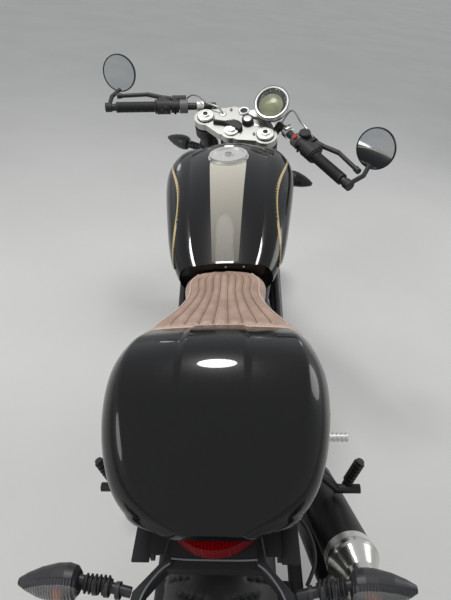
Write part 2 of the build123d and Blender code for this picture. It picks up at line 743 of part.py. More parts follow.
# Exhaust: two headers, a link between them and two stacked silencers
pipe = 21.0
silencer_radius, silencer_length = 46.0, 250.0
silencer_way = Vector(0.165, -0.883, 0.442).normalized()
silencer_ends = {"upper": Vector(232, 113, 467), "lower": Vector(232, 93, 359)}
inlet_length = 42.0
inlets = {name: end - silencer_way * (silencer_length + inlet_length)
          for name, end in silencer_ends.items()}
front_route = [(0, 1049.8, 383.7), (0, 1072, 300), (60, 1010, 214), (132, 880, 196),
               (166, 640, 186), (170, 440, 178)]
rear_route = [(50, 654.6, 611.2), (50, 616, 601), (112, 598, 566), (160, 592, 500),
              (170, 588, 380), (166, 520, 286)]


def to_inlet(route, name):
    """A header's route with a straight last run into its silencer."""
    end = inlets[name]
    lead = end - silencer_way * 44
    return [*route, tuple(lead), tuple(end)]


with BuildPart() as headers:
    bent_pipe(to_inlet(front_route, "lower"), [36, 42, 60, 60, 60, 40], pipe)
    bent_pipe(to_inlet(rear_route, "upper"), [20, 30, 30, 60, 44, 44], pipe - 2)
    bar((167, 500, 283), (168, 500, 182), pipe - 5)
save(headers, "exhaust_headers")

with BuildPart() as silencers:
    for end in silencer_ends.values():
        base = Plane(origin=end - silencer_way * silencer_length, x_dir=(1, 0, 0.0),
                     z_dir=silencer_way)
        turned_shape(base, [(-inlet_length + seat_gap, 0), (-inlet_length + seat_gap, pipe + 3),
                            (-inlet_length + 12, pipe + 3), (0, silencer_radius),
                            (silencer_length, silencer_radius), (silencer_length, 0)])
save(silencers, "silencers")

with BuildPart() as silencer_caps:
    for end in silencer_ends.values():
        base = Plane(origin=end, x_dir=(1, 0, 0), z_dir=silencer_way)
        turned_shape(base, [(seat_gap, 22), (seat_gap, silencer_radius + 3), (9, silencer_radius + 3),
                            (13, silencer_radius), (40, 31), (52, 30), (52, 24), (40, 22)])
save(silencer_caps, "silencer_caps")


# Steered pieces, in the fork's own frame: across, ahead and up the axis
def head_bar(start, end, radius, mode=Mode.ADD):
    """Adds a round bar between two points given in the fork's frame."""
    bar(head_point(*start), head_point(*end), radius, mode)


def yoke_plan(height, outline, clamp):
    """A yoke's outline: two fork clamps and a web round the stem."""
    with BuildSketch(steering.offset(height)) as plan:
        with BuildLine():
            Polyline(*outline, close=True)
        make_face()
        with Locations((fork_x, fork_ahead), (-fork_x, fork_ahead)):
            Circle(clamp)
        Circle(stem_radius + 15)
    return plan.sketch


yoke_outline = [(-112, 0), (-34, -26), (34, -26), (112, 0), (116, 52), (34, 104), (-40, 104),
                (-116, 52)]
with BuildPart() as top_yoke:
    extrude(yoke_plan(yoke_high, yoke_outline, fork_outer + 9), amount=yoke_high_height)
    with BuildSketch(steering.offset(yoke_high)) as holes:
        with Locations((fork_x, fork_ahead), (-fork_x, fork_ahead)):
            Circle(fork_outer + seat_gap)
        Circle(stem_radius + pin_gap)
        with Locations((-3, 92)):
            Circle(11)
        with Locations((60, 58), (-60, 58)):
            Circle(12)
    extrude(holes.sketch, amount=yoke_high_height, mode=Mode.SUBTRACT)
    with BuildSketch(steering.offset(yoke_high + yoke_high_height)) as lock:
        with Locations((-3, 92)):
            Circle(17)
            Circle(11, mode=Mode.SUBTRACT)
    extrude(lock.sketch, amount=5)
save(top_yoke, "top_yoke", turned)

with BuildPart() as bottom_yoke:
    extrude(yoke_plan(yoke_low, [(-112, -2), (112, -2), (112, 48), (-112, 48)],
                      fork_outer + 9), amount=yoke_low_height)
    with BuildSketch(steering.offset(yoke_low)) as holes:
        with Locations((fork_x, fork_ahead), (-fork_x, fork_ahead)):
            Circle(fork_outer + seat_gap)
    extrude(holes.sketch, amount=yoke_low_height, mode=Mode.SUBTRACT)
    head_bar((0, 0, yoke_low), (0, 0, yoke_high + yoke_high_height), stem_radius)
save(bottom_yoke, "bottom_yoke", turned)

fork_top = yoke_high + yoke_high_height + 3
with BuildPart() as fork_tubes:
    for side in (1, -1):
        x = side * fork_x
        head_bar((x, fork_ahead, fork_sleeve_low), (x, fork_ahead, fork_top), fork_outer)
        head_bar((x, fork_ahead, fork_sleeve_low), (x, fork_ahead, fork_sleeve_low + 34),
                 fork_outer + 2)
        head_bar((x, fork_ahead, fork_sleeve_low - 1), (x, fork_ahead, fork_top - 12),
                 stanchion + seat_gap, Mode.SUBTRACT)
save(fork_tubes, "fork_tubes", turned)

foot_wide, foot_deep = 34.0, 58.0
with BuildPart() as fork_legs:
    for side in (1, -1):
        x = side * fork_x
        head_bar((x, fork_ahead, axle_up), (x, fork_ahead, fork_sleeve_low + 150), stanchion)
        with BuildSketch(steering.offset(axle_up - 34)) as foot:
            with Locations((x, fork_ahead)):
                RectangleRounded(foot_wide, foot_deep, 12)
        extrude(foot.sketch, amount=92, taper=3)
    head_bar((-fork_x - 22, fork_ahead, axle_up), (fork_x + 22, fork_ahead, axle_up), axle_radius)
    for side in (1, -1):
        head_bar((side * (hub_half + 14), fork_ahead, axle_up), (side * fork_x, fork_ahead, axle_up),
                 axle_radius + 4)
    # A boss behind the left leg takes the radial caliper
    head_bar((-fork_x, fork_ahead - 20, axle_up + 20), (-fork_x, fork_ahead - 58, axle_up + 50), 11)
    head_bar((-fork_x, fork_ahead - 20, axle_up + 52), (-fork_x, fork_ahead - 42, axle_up + 116), 11)
save(fork_legs, "fork_legs", turned)

with BuildPart() as yoke_nuts:
    for x, ahead, radius, low in ((fork_x, fork_ahead, 24, fork_top + seat_gap),
                                  (-fork_x, fork_ahead, 24, fork_top + seat_gap),
                                  (0, 0, 22, yoke_high + yoke_high_height + seat_gap)):
        head_bar((x, ahead, low), (x, ahead, low + 5), radius)
        with BuildSketch(steering.offset(low + 5)) as flats:
            with Locations((x, ahead)):
                RegularPolygon(radius * 0.6, 6)
        extrude(flats.sketch, amount=5)
save(yoke_nuts, "yoke_nuts", turned)


# Clip-on bars, swept back, with grips, mirrors and controls at set distances
bar_start, bar_end = Vector(112, 104, 952), Vector(391, -74, 989)
bar_way = (bar_end - bar_start).normalized()
bar_front = Vector(-bar_way.Y, bar_way.X, 0).normalized()
bar_radius, grip_radius = 11.0, 16.5
bar_length = (bar_end - bar_start).length
grip_from, grip_to = bar_length - 142, bar_length - 14


def on_bar(side, distance, front=0.0, up=0.0):
    """A point along one handlebar, moved forwards or up from its line."""
    point = bar_start + bar_way * distance + bar_front * front + Vector(0, 0, up)
    return (side * point.X, point.Y, point.Z)


with BuildPart() as clip_ons:
    for side in (1, -1):
        x = side * fork_x
        head_bar((x, fork_ahead, 912), (x, fork_ahead, 944), fork_outer + 10)
        head_bar((x, fork_ahead + 30, 928), (side * 116, 101, 951), 12)
        head_bar((x, fork_ahead, 911), (x, fork_ahead, 945), fork_outer + seat_gap, Mode.SUBTRACT)
        head_bar(on_bar(side, 0), on_bar(side, bar_length), bar_radius)
save(clip_ons, "clip_ons", turned)

with BuildPart() as grips:
    for side in (1, -1):
        head_bar(on_bar(side, grip_from), on_bar(side, grip_to), grip_radius)
        head_bar(on_bar(side, grip_from), on_bar(side, grip_from + 5), grip_radius + 5)
        head_bar(on_bar(side, grip_from - 1), on_bar(side, grip_to + 1), bar_radius + seat_gap,
                 Mode.SUBTRACT)
save(grips, "grips", turned)

lever_reach = 40.0
with BuildPart() as bar_controls:
    for side in (1, -1):
        head_bar(on_bar(side, grip_from - 44), on_bar(side, grip_from - 1), 23)
        head_bar(on_bar(side, grip_from - 34, 18, 4), on_bar(side, grip_from - 8, 18, 4), 15)
        head_bar(on_bar(side, grip_from - 72), on_bar(side, grip_from - 46), 19)
        head_bar(on_bar(side, grip_from - 60, 10), on_bar(side, grip_from - 60, lever_reach - 12), 13)
        head_bar(on_bar(side, grip_from - 96, lever_reach - 4),
                 on_bar(side, grip_from - 50, lever_reach - 4), 12)
        head_bar(on_bar(side, grip_from - 73), on_bar(side, grip_from), bar_radius + seat_gap,
                 Mode.SUBTRACT)
save(bar_controls, "bar_controls", turned)

with BuildPart() as levers:
    for side in (1, -1):
        route = [on_bar(side, grip_from - 47, lever_reach - 2),
                 on_bar(side, grip_from - 22, lever_reach + 4), on_bar(side, grip_from + 30, 62),
                 on_bar(side, grip_to - 6, 56)]
        for start, end, radius in zip(route, route[1:], (8, 7.2, 6.4)):
            head_bar(start, end, radius)
        head_bar(on_bar(side, grip_to - 16, 57), on_bar(side, grip_to, 55.5), 8.5)
save(levers, "levers", turned)

# Bar-end mirrors: a weight on the bar's end, a bent stalk, a round shell and its glass
mirror_radius = 56.0
mirror_at = Vector(429, 41, 1026)
mirror_face = Vector(-0.22, -0.86, 0.46).normalized()
with BuildPart() as mirrors:
    for side in (1, -1):
        head_bar(on_bar(side, bar_length + seat_gap), on_bar(side, bar_length + 20), 14)
        knee = Vector(*on_bar(side, bar_length + 10))
        face = Vector(side * mirror_face.X, mirror_face.Y, mirror_face.Z)
        centre = Vector(side * mirror_at.X, mirror_at.Y, mirror_at.Z)
        toward = knee - centre
        lower = (toward - face * toward.dot(face)).normalized()
        joint = centre + lower * (mirror_radius - 9) - face * 8
        elbow = Vector(joint.X, (knee.Y + joint.Y) / 2, (knee.Z + joint.Z) / 2)
        bent_pipe([head_point(*point) for point in (knee, elbow, joint)], 14, 6.5)
        head_bar(centre - face * 14, centre - face * 2, mirror_radius - 5)
        head_bar(centre - face * 2, centre + face * 4, mirror_radius)
        head_bar(centre + face * 1, centre + face * 5, mirror_radius - 3, Mode.SUBTRACT)
save(mirrors, "mirrors", turned)

with BuildPart() as mirror_glass:
    for side in (1, -1):
        face = Vector(side * mirror_face.X, mirror_face.Y, mirror_face.Z)
        centre = Vector(side * mirror_at.X, mirror_at.Y, mirror_at.Z)
        head_bar(centre + face * (1 + seat_gap), centre + face * 3.3, mirror_radius - 3 - seat_gap)
save(mirror_glass, "mirror_glass", turned)

# Round instrument on its arm, tilted to the rider
instrument_at = Vector(86, 107, 1018)
instrument_face = Vector(0, -0.41, 0.91).normalized()
instrument_radius = 53.0
with BuildPart() as instrument:
    base = Plane(origin=head_point(*instrument_at),
                 x_dir=(1, 0, 0), z_dir=steering.from_local_coords(instrument_at + instrument_face)
                 - head_point(*instrument_at))
    turned_shape(base, [(-36, 0), (-36, 28), (-18, instrument_radius - 4), (0, instrument_radius - 2),
                        (4, instrument_radius), (10, instrument_radius), (10, instrument_radius - 6),
                        (3, instrument_radius - 9), (3, 0)])
    head_bar((61.2, 93.3, 960), (82, 116, 994), 6.7)
save(instrument, "instrument", turned)

# Headlight: a deep bowl with a rim, a domed lens, and the brackets that hold it
lamp_at = head_point(0, 122, 834)
lamp = Plane(origin=lamp_at, x_dir=(1, 0, 0), z_dir=(0, 1, 0))
lamp_radius = 86.0
lamp_ear = lamp_at - Vector(0, 10, 0)
with BuildPart() as headlight:
    turned_shape(lamp, [(-58, 0), (-56, 26), (-36, 60), (-8, 78), (20, lamp_radius - 3),
                        (30, lamp_radius), (46, lamp_radius), (46, lamp_radius - 8),
                        (32, lamp_radius - 8), (20, 60), (-20, 36), (-30, 0)])
    for side in (1, -1):
        bar(lamp_ear + Vector(side * 64, 0, 0), lamp_ear + Vector(side * (lamp_radius - seat_gap), 0, 0), 9)
save(headlight, "headlight", turned)

with BuildPart() as headlight_lens:
    turned_shape(lamp, [(32 + seat_gap, 0), (32 + seat_gap, lamp_radius - 8 - seat_gap),
                        (42, lamp_radius - 8 - seat_gap), (50, 52), (54, 26), (55, 0)])
save(headlight_lens, "headlight_lens", turned)

with BuildPart() as headlight_brackets:
    for side in (1, -1):
        x = side * fork_x
        for height in (800, 852):
            head_bar((x, fork_ahead, height), (x, fork_ahead, height + 16), fork_outer + 5)
            head_bar((x, fork_ahead + 28, height + 8), (side * (lamp_radius + 7), 96, height + 8), 5)
        head_bar((side * (lamp_radius + 7), 96, 800), (side * (lamp_radius + 7), 96, 868), 7)
        bar(head_point(side * (lamp_radius + 6), 96, 837.7),
            lamp_ear + Vector(side * (lamp_radius + 6), 0, 0), 6)
        head_bar((x, fork_ahead, 799), (x, fork_ahead, 870), fork_outer + seat_gap, Mode.SUBTRACT)
save(headlight_brackets, "headlight_brackets", turned)


# Indicators: a drop-shaped pod on a stalk, its rear or front half the lens
pod_length, pod_radius, lens_cut = 84.0, 24.0, 3.0


def pod(root):
    """Adds a pod lying across the machine, outwards from its root."""
    way = Vector(math.copysign(1, root.X), 0, 0)
    base = Plane(origin=root, x_dir=(0, 1, 0), z_dir=way)
    turned_shape(base, [(0, 0), (0, 15), (5, 21), (16, pod_radius), (32, pod_radius - 0.5),
                        (54, 18.5), (72, 11.5), (pod_length, 5), (pod_length, 0)])


def half_space(root, facing, gap):
    """A block that covers the lens side of a pod."""
    near = root.Y + facing * (lens_cut + gap)
    far = root.Y + facing * 80
    with BuildSketch(Plane(origin=(root.X, (near + far) / 2, root.Z - 60))) as plan:
        Rectangle(2 * pod_length + 60, abs(far - near))
    return plan.sketch


rear_pods = [Vector(182, -20, 702), Vector(-182, -20, 702)]
front_pods = [Vector(184, 1242, 784), Vector(-184, 1242, 784)]
for name, roots, facing, place in (("rear", rear_pods, -1, stance),
                                   ("front", front_pods, 1, turned)):
    with BuildPart() as shells:
        for root in roots:
            side = math.copysign(1, root.X)
            pod(root)
            extrude(half_space(root, facing, 0), amount=120, mode=Mode.SUBTRACT)
            if name == "rear":
                start = Vector(side * 112, -26, 688)
            else:
                start = Vector(side * (fork_x + fork_outer + 0.8), 1242.4, 784)
            bar(start, root + Vector(side * 6, -facing * 5, 0), 7)
            for number in range(3):
                ring_at = start + (root - start) * (0.2 + 0.22 * number)
                bar(ring_at, ring_at + Vector(side * 6, 0, 0), 11)
    save(shells, f"indicators_{name}", place)
    with BuildPart() as lenses:
        for root in roots:
            pod(root)
        for root in roots:
            extrude(half_space(root, -facing, -seat_gap - 2 * lens_cut), amount=120,
                    mode=Mode.SUBTRACT)
    save(lenses, f"indicator_lenses_{name}", place)

# Front mudguard: a short arched blade with stays to the fork legs
guard_inner, guard_skin, guard_half = front_radius + 10, 3.0, 66.0
with BuildPart() as front_fender:
    with BuildSketch(front_across) as section:
        with BuildLine():
            Line((guard_half, guard_inner - 34), (guard_half + guard_skin, guard_inner - 34))
            ThreePointArc((guard_half + guard_skin, guard_inner - 34),
                          (0, guard_inner + guard_skin), (-guard_half - guard_skin, guard_inner - 34))
            Line((-guard_half - guard_skin, guard_inner - 34), (-guard_half, guard_inner - 34))
            ThreePointArc((-guard_half, guard_inner - 34), (0, guard_inner),
                          (guard_half, guard_inner - 34))
        make_face()
    guard_axis = Axis(front_centre, (1, 0, 0))
    revolve(section.sketch.rotate(guard_axis, -24), guard_axis, revolution_arc=96)
    for side in (1, -1):
        head_bar((side * (guard_half + 1.5), fork_ahead, axle_up + guard_inner - 36),
                 (side * (fork_x - stanchion - seat_gap), fork_ahead, axle_up + guard_inner - 36), 9)
save(front_fender, "front_fender", turned)


# Brake calipers: a body either side of the disc, bridged over its edge
def caliper(centre, disc_x, radius, angle, reach, length, depth):
    """A caliper round a disc's edge at an angle from forwards, upwards."""
    way = Vector(0, math.cos(math.radians(angle)), math.sin(math.radians(angle)))
    middle = Vector(centre) + way * (radius - depth / 2 + 12) + Vector(disc_x, 0, 0)
    face = Plane(origin=middle, x_dir=(1, 0, 0), z_dir=way)
    with BuildPart() as body:
        with BuildSketch(face.offset(-depth / 2)) as outline:
            RectangleRounded(reach, length, 12)
        extrude(outline.sketch, amount=depth, taper=4)
        with BuildSketch(face.offset(-depth / 2)) as slot:
            Rectangle(disc_thickness + 2 * disc_gap, length + 2)
        extrude(slot.sketch, amount=depth - 9, mode=Mode.SUBTRACT)
    return body


front_caliper = caliper(front_centre, front_disc_x, front_disc_radius, 180 - 30, 62, 104, 56)
save(front_caliper, "front_caliper", turned)
rear_caliper = caliper(rear_centre, rear_disc_x, rear_disc_radius, 62, 40, 76, 44)
save(rear_caliper, "rear_caliper")


# Rear tray, the arched bracket over the tyre and the tail light
bracket_stations = [(60, 44, 692, 16, 20), (66, 8, 692, 16, 24), (101, -28, 684, 16, 28),
                    (110, -70, 668, 14, 28), (104, -112, 650, 13, 25), (92, -142, 640, 12, 22)]
with BuildPart() as rear_fender:
    block((-72, 58, 694), (72, 320, 699))
    block((-94, 20, 694), (94, 196, 698))
    for x in (88, -94):
        block((x, 20, 676), (x + 6, 196, 698))
    for y in (98, 310):
        block((-30, y - 9, 699), (30, y + 9, rail_z - cross_tube - seat_gap))
    block((-60, 14, 694), (60, 62, 710))
    block((-66, 0, 682), (66, 14, 700))
    for side in (1, -1):
        beam([(side * x, y, z, wide, tall) for x, y, z, wide, tall in bracket_stations])
    block((-94, -150, 631), (94, -138, 648))
    block((-36, -156, 648), (36, -138, 662), 4)
save(rear_fender, "rear_fender")

tail_centre, tail_radius, tail_half = (0, 84), 74.0, 55.0


def round_point(centre, radius, angle):
    """A point on a circle at an angle in degrees."""
    turn = math.radians(angle)
    return (centre[0] + radius * math.cos(turn), centre[1] + radius * math.sin(turn))


with BuildPart() as tail_light:
    with BuildSketch(Plane.XY.offset(710 + seat_gap)) as crescent:
        with BuildLine():
            for radius in (tail_radius, tail_radius - 34):
                CenterArc(tail_centre, radius, 270 - tail_half, 2 * tail_half)
            for angle in (270 - tail_half, 270 + tail_half):
                Line(round_point(tail_centre, tail_radius, angle),
                     round_point(tail_centre, tail_radius - 34, angle))
        make_face()
    extrude(crescent.sketch, amount=25)
save(tail_light, "tail_light")


# Rider's footrests on outboard plates, with the brake pedal and the gear lever
peg_y, peg_z, peg_root, peg_tip = 465.0, 341.0, 212.0, 295.0
plate_x, plate_thick = 200.0, 8.0
with BuildPart() as footrests:
    for side in (1, -1):
        with BuildSketch(side_plane(side * plate_x)) as plate:
            with BuildLine():
                Polyline((peg_y - 22, peg_z - 26), (peg_y - 26, peg_z + 30), (506, 428),
                         (556, 424), (562, 352), (540, 318), close=True)
            make_face()
            fillet(plate.vertices(), 8)
            with Locations((506, 376)):
                Circle(13, mode=Mode.SUBTRACT)
        extrude(plate.sketch, amount=side * plate_thick)
        for y, z in ((545, 405), (532, 352)):
            bar((side * (138 + seat_gap), y, z), (side * plate_x, y, z), 8)
        bar((side * (plate_x + 2), peg_y, peg_z), (side * (peg_root + 6), peg_y, peg_z), 13)
        bar((side * peg_root, peg_y, peg_z), (side * peg_tip, peg_y, peg_z), 9.5)
        for number in range(7):
            x = peg_root + 12 + number * 11
            bar((side * x, peg_y, peg_z), (side * (x + 5), peg_y, peg_z), 12)
        lever_y, lever_z = (640, 316) if side > 0 else (632, 322)
        bent_pipe([(side * (plate_x + 4), 536, 330), (side * (plate_x + 12), 600, lever_z - 6),
                   (side * (plate_x + 14), lever_y, lever_z)], 30, 6)
        bar((side * (plate_x + 8), lever_y, lever_z), (side * (plate_x + 52), lever_y, lever_z), 8)
save(footrests, "rider_footrests")

# Passenger footrests on triangular hangers from the seat rails
hanger_foot = (225, 255, 462)
peg_way = Vector(0.3, 0.1, 0.95).normalized()
with BuildPart() as passenger_rests:
    for side in (1, -1):
        x, y, z = hanger_foot
        bar((side * 99.2, 262, 700), (side * x, y, z), 8)
        bar((side * 95.5, 214, 700), (side * x, y, z), 8)
        bar((side * 85, 262, rail_z - 16), (side * 104, 262, 692), 7)
        bar((side * 80, 214, rail_z - 16), (side * 102, 214, 692), 7)
        bar((side * (x - 6), y, z), (side * (x + 48), y, z), 9.5)
        root = Vector(side * (x + 20), y + 9, z)
        way = Vector(side * peg_way.X, peg_way.Y, peg_way.Z)
        bar(root, root + way * 78, 8)
        for number in range(6):
            low = root + way * (16 + number * 10)
            bar(low, low + way * 5, 11)
save(passenger_rests, "passenger_footrests")


# Side stand: the leg on the engine's pin, and its sole flat on the ground
with BuildPart() as side_stand:
    bar(stand_at - stand_axis * stand_lug, stand_at + stand_axis * stand_lug, 14)
    bar(stand_at, stand_sole + ground_up * 6, 10)
    with BuildSketch(Plane(origin=stand_sole, x_dir=(math.cos(lean_rad), 0, -math.sin(lean_rad)),
                           z_dir=ground_up)) as sole:
        RectangleRounded(46, 62, 14)
    extrude(sole.sketch, amount=8)
    bar(stand_at - stand_axis * 12, stand_at + stand_axis * 12, stand_pin + pin_gap, Mode.SUBTRACT)
save(side_stand, "side_stand")
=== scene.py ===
# %% [markdown]
# A scrambler motorcycle in cafe style, dressed over its CAD frame.
#
# The CAD gives every rigid piece its place and size. This file gives the pieces
# their finishes and adds what a camera sees and CAD leaves plain: leather, tread,
# a coil spring, screws, dials and painted stripes. Everything is in metres in the
# end, but each piece is drawn in millimetres, as on a workshop drawing.

import math
import bmesh
import bpy
from mathutils import Matrix, Vector


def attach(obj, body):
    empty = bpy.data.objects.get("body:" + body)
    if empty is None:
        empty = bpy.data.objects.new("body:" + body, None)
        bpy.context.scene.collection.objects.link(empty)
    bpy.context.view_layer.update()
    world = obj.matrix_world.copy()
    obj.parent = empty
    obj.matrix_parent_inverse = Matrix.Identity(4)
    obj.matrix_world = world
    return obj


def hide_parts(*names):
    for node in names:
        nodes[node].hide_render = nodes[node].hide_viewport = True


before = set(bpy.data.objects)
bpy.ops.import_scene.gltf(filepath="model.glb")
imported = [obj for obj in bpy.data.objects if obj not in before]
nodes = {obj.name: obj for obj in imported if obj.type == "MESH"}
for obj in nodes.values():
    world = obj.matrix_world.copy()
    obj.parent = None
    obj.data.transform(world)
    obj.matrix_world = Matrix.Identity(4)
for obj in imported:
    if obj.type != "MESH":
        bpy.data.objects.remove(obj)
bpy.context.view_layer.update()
print("pieces in the frame:", len(nodes))

# %% [markdown]
# The machine leans on its stand and its fork is turned. Pieces are easier to draw
# on an upright machine with a straight fork, so three matrices carry a drawing to
# its place: UPRIGHT for the chassis, TURNED for steered pieces drawn on the upright
# machine, and FORK for pieces measured across, ahead and up the steering axis. A
# piece's home is the body it rides on and the matrix of its drawing.

# %% Places
LEAN, STEER, RAKE = math.radians(10), math.radians(-27), math.radians(21.8)
SHIFT = Vector((0.153, -0.6976, 0.095 * (1 - math.cos(LEAN))))
UPRIGHT = (Matrix.Translation(SHIFT) @ Matrix.Rotation(-LEAN, 4, "Y")
           @ Matrix.Scale(0.001, 4))
STEM = Matrix.Translation((0, 1530, 0)) @ Matrix.Rotation(RAKE, 4, "X")
FORK = UPRIGHT @ STEM @ Matrix.Rotation(STEER, 4, "Z")
TURNED = FORK @ STEM.inverted()
ON_CHASSIS, ON_FORK, STEERED = ("chassis", UPRIGHT), ("steering", FORK), ("steering", TURNED)
ON_REAR_WHEEL, ON_FRONT_WHEEL = ("rear_wheel", UPRIGHT), ("front_wheel", TURNED)
REAR_AXLE = Vector((0, 0, 315))
FRONT_AXLE = STEM @ Vector((0, 24.1, 315.83))
print("front axle, upright drawing:", [round(v, 1) for v in FRONT_AXLE])

# %% [markdown]
# Materials are node trees. One function turns a paint maker's hex colour into the
# linear light that shaders work in, and one adds a node with its settings and links.
# The others draw a grain, a ripple or patches, and the last makes a whole material.

# %% Material helpers


def hex_colour(code):
    """A hex colour as linear red, green, blue and alpha."""
    parts = [int(code[i:i + 2], 16) / 255 for i in (1, 3, 5)]
    return [c / 12.92 if c <= 0.04045 else ((c + 0.055) / 1.055) ** 2.4 for c in parts] + [1]


def output(source):
    """A link as it is, or a node's first output."""
    return source.outputs[0] if isinstance(source, bpy.types.Node) else source


def add(made, kind, *terms, **settings):
    """Adds a node. Terms feed its inputs in order, settings feed them by name or set
    its properties, and each is a value, a hex colour, a link or a node."""
    node = made.node_tree.nodes.new("ShaderNode" + kind)
    feeds = list(zip(node.inputs, terms))
    for key, value in settings.items():
        if hasattr(node, key):
            setattr(node, key, value)
        else:
            feeds.append((node.inputs[key.replace("_", " ")], value))
    for socket, value in feeds:
        if isinstance(value, (bpy.types.Node, bpy.types.NodeSocket)):
            made.node_tree.links.new(output(value), socket)
        else:
            socket.default_value = hex_colour(value) if isinstance(value, str) else value
    return node


def join(made, source, socket):
    """Joins a node or a link to the main shader."""
    shader = made.node_tree.nodes["Principled BSDF"]
    made.node_tree.links.new(output(source), shader.inputs[socket])


def drawing(made, place=None):
    """Object coordinates in metres, or the drawing's millimetres."""
    spot = add(made, "TexCoord").outputs["Object"]
    if place is None:
        return spot
    return add(made, "Mapping", Vector=spot, vector_type="TEXTURE",
               Location=place.to_translation(), Rotation=place.to_euler(),
               Scale=(0.001, 0.001, 0.001))


def raise_by(made, height, depth_mm):
    """Lets a height move the shader's normal."""
    bump = add(made, "Bump", Height=height, Strength=1.0, Distance=depth_mm / 1000)
    join(made, bump, "Normal")
    return height


def grain(made, size_mm, depth_mm, detail=3.0):
    """A raised grain of a real size: noise, or a net of cells if detail is None."""
    spot, scale = drawing(made), 1000 / size_mm
    if detail is None:
        height = add(made, "TexVoronoi", Vector=spot, Scale=scale, feature="SMOOTH_F1")
    else:
        height = add(made, "TexNoise", Vector=spot, Scale=scale, Detail=detail)
    return raise_by(made, height, depth_mm)


def ripple(made, distance, spacing_mm, depth_mm):
    """Raised waves along a distance."""
    turn = add(made, "Math", distance, 2 * math.pi / spacing_mm, operation="MULTIPLY")
    return raise_by(made, add(made, "Math", turn, operation="SINE"), depth_mm)


def vary(made, height, low, high, socket="Roughness"):
    """Lets a pattern move a shader value between two limits."""
    join(made, add(made, "MapRange", Value=height, To_Min=low, To_Max=high), socket)


def blotch(made, first, second, size_mm, contrast=(0.4, 0.6)):
    """Mixes two colours in soft patches."""
    noise = add(made, "TexNoise", Vector=drawing(made), Scale=1000 / size_mm, Detail=4.0)
    ramp = add(made, "ValToRGB", noise)
    for stop, place, colour in zip(ramp.color_ramp.elements, contrast, (first, second)):
        stop.position, stop.color = place, hex_colour(colour)
    join(made, ramp, "Base Color")


def material(name, colour, roughness, metallic=0.0, patches=None, grained=None, **sockets):
    """A material with one main shader, its plain values set on the shader itself.
    Patches and grained are what blotch and grain need. A roughness of two values is
    moved between them by the grain."""
    made = bpy.data.materials.new(name)
    made.use_nodes = True
    shader = made.node_tree.nodes["Principled BSDF"]
    low, high = roughness if isinstance(roughness, tuple) else (roughness, roughness)
    values = {"Base Color": hex_colour(colour), "Roughness": (low + high) / 2,
              "Metallic": metallic}
    for socket, value in (values | sockets).items():
        shader.inputs[socket.replace("_", " ")].default_value = value
    if patches:
        blotch(made, *patches)
    height = grain(made, *grained) if grained else None
    if low < high:
        vary(made, height, low, high)
    return made


# %% [markdown]
# **Black paint.** Tank and cowl are lacquered: pigment under a clear coat, so the
# reflection is sharp and the black deep. The frame is powder coated: baked powder
# gives a satin skin with a fine orange peel of about 2 mm. Cases are sand cast and
# painted, so their skin is coarser. Plastics carry a moulded grain.

# %% Paints and plastics
lacquer = material("black_lacquer", "#040405", (0.24, 0.34), grained=(9.0, 0.004, 1.0),
                   Specular_IOR_Level=0.1, Coat_Weight=0.55, Coat_Roughness=0.03)

powder_coat = material("black_powder_coat", "#161617", 0.42, grained=(2.0, 0.05),
                       Coat_Weight=0.2)

cast_black = material("painted_casting", "#1d1d1f", (0.42, 0.6), grained=(1.6, 0.09, 6.0))

cover_grey = material("anodised_grey", "#3a3a3c", (0.3, 0.46), 0.75, grained=(1.2, 0.03, 4.0))

plastic = material("moulded_plastic", "#1b1b1c", 0.6, grained=(0.9, 0.05, None))

pod_grey = material("grey_plastic", "#2e2e30", 0.42, grained=(0.8, 0.02, None))

exhaust_black = material("heat_paint", "#1a1918", 0.44, 0.3,
                         patches=("#161514", "#262321", 60.0), grained=(1.2, 0.03, 4.0))

# %% [markdown]
# **Metals.** The yoke and filler are satin aluminium, blasted and clear anodised.
# The silencers' end caps are turned on a lathe, so fine rings run round the axis;
# a wave along the drawing's own direction draws them. Steel discs are ground.

# %% Metals
satin_alloy = material("satin_aluminium", "#dddcd8", (0.34, 0.46), 1.0,
                       grained=(0.7, 0.012, 4.0))

# The yoke's copy of the satin aluminium is painted darker than the filler's: painted shade, so that
# the overhead lamp's reflection does not wash it out.
yoke_alloy_painted_shade = material("satin_aluminium_painted_shade", "#b7b6b1", (0.42, 0.54), 1.0,
                      grained=(0.7, 0.02, 4.0))

turned_alloy = material("turned_aluminium", "#d2d0ca", 0.2, 1.0)
silencer_way = Vector((0.165, -0.883, 0.442)).normalized()
along = add(turned_alloy, "VectorMath", drawing(turned_alloy, UPRIGHT), silencer_way,
            operation="DOT_PRODUCT").outputs["Value"]
vary(turned_alloy, ripple(turned_alloy, along, 1.4, 0.03), 0.16, 0.26)

steel = material("ground_steel", "#a9a8a5", (0.22, 0.4), 1.0, grained=(1.5, 0.01, 6.0))

oiled_steel = material("oiled_chain_steel", "#6b665c", 0.34, 1.0,
                       patches=("#57534b", "#8d8574", 9.0))

dark_bolt = material("black_zinc", "#2c2b2a", (0.28, 0.42), 0.9, grained=(1.0, 0.01))

bright_bolt = material("zinc_plate", "#b9b7b0", (0.18, 0.32), 1.0, grained=(1.0, 0.01))

mirror_silver = material("silvered_glass", "#dfe3e6", 0.02, 1.0,
                         patches=("#dde1e4", "#e4e8ea", 80.0))

# %% [markdown]
# **Rubber, lenses and glass.** A tyre is dull carbon-black rubber with a skin from
# its mould. Lenses are clear acrylic with flutes inside that spread the lamp's
# light, so they show a ribbed pattern under a smooth gloss. The rear turn lamps'
# lenses are painted like their housing ahead of a line, as a hood covers them.

# %% Rubber and lenses
rubber = material("tyre_rubber", "#1f1f20", (0.48, 0.66), patches=("#1b1b1c", "#272728", 30.0),
                  grained=(1.0, 0.03, 5.0))

soft_rubber = material("grip_rubber", "#18181a", 0.62, grained=(0.8, 0.04, None))


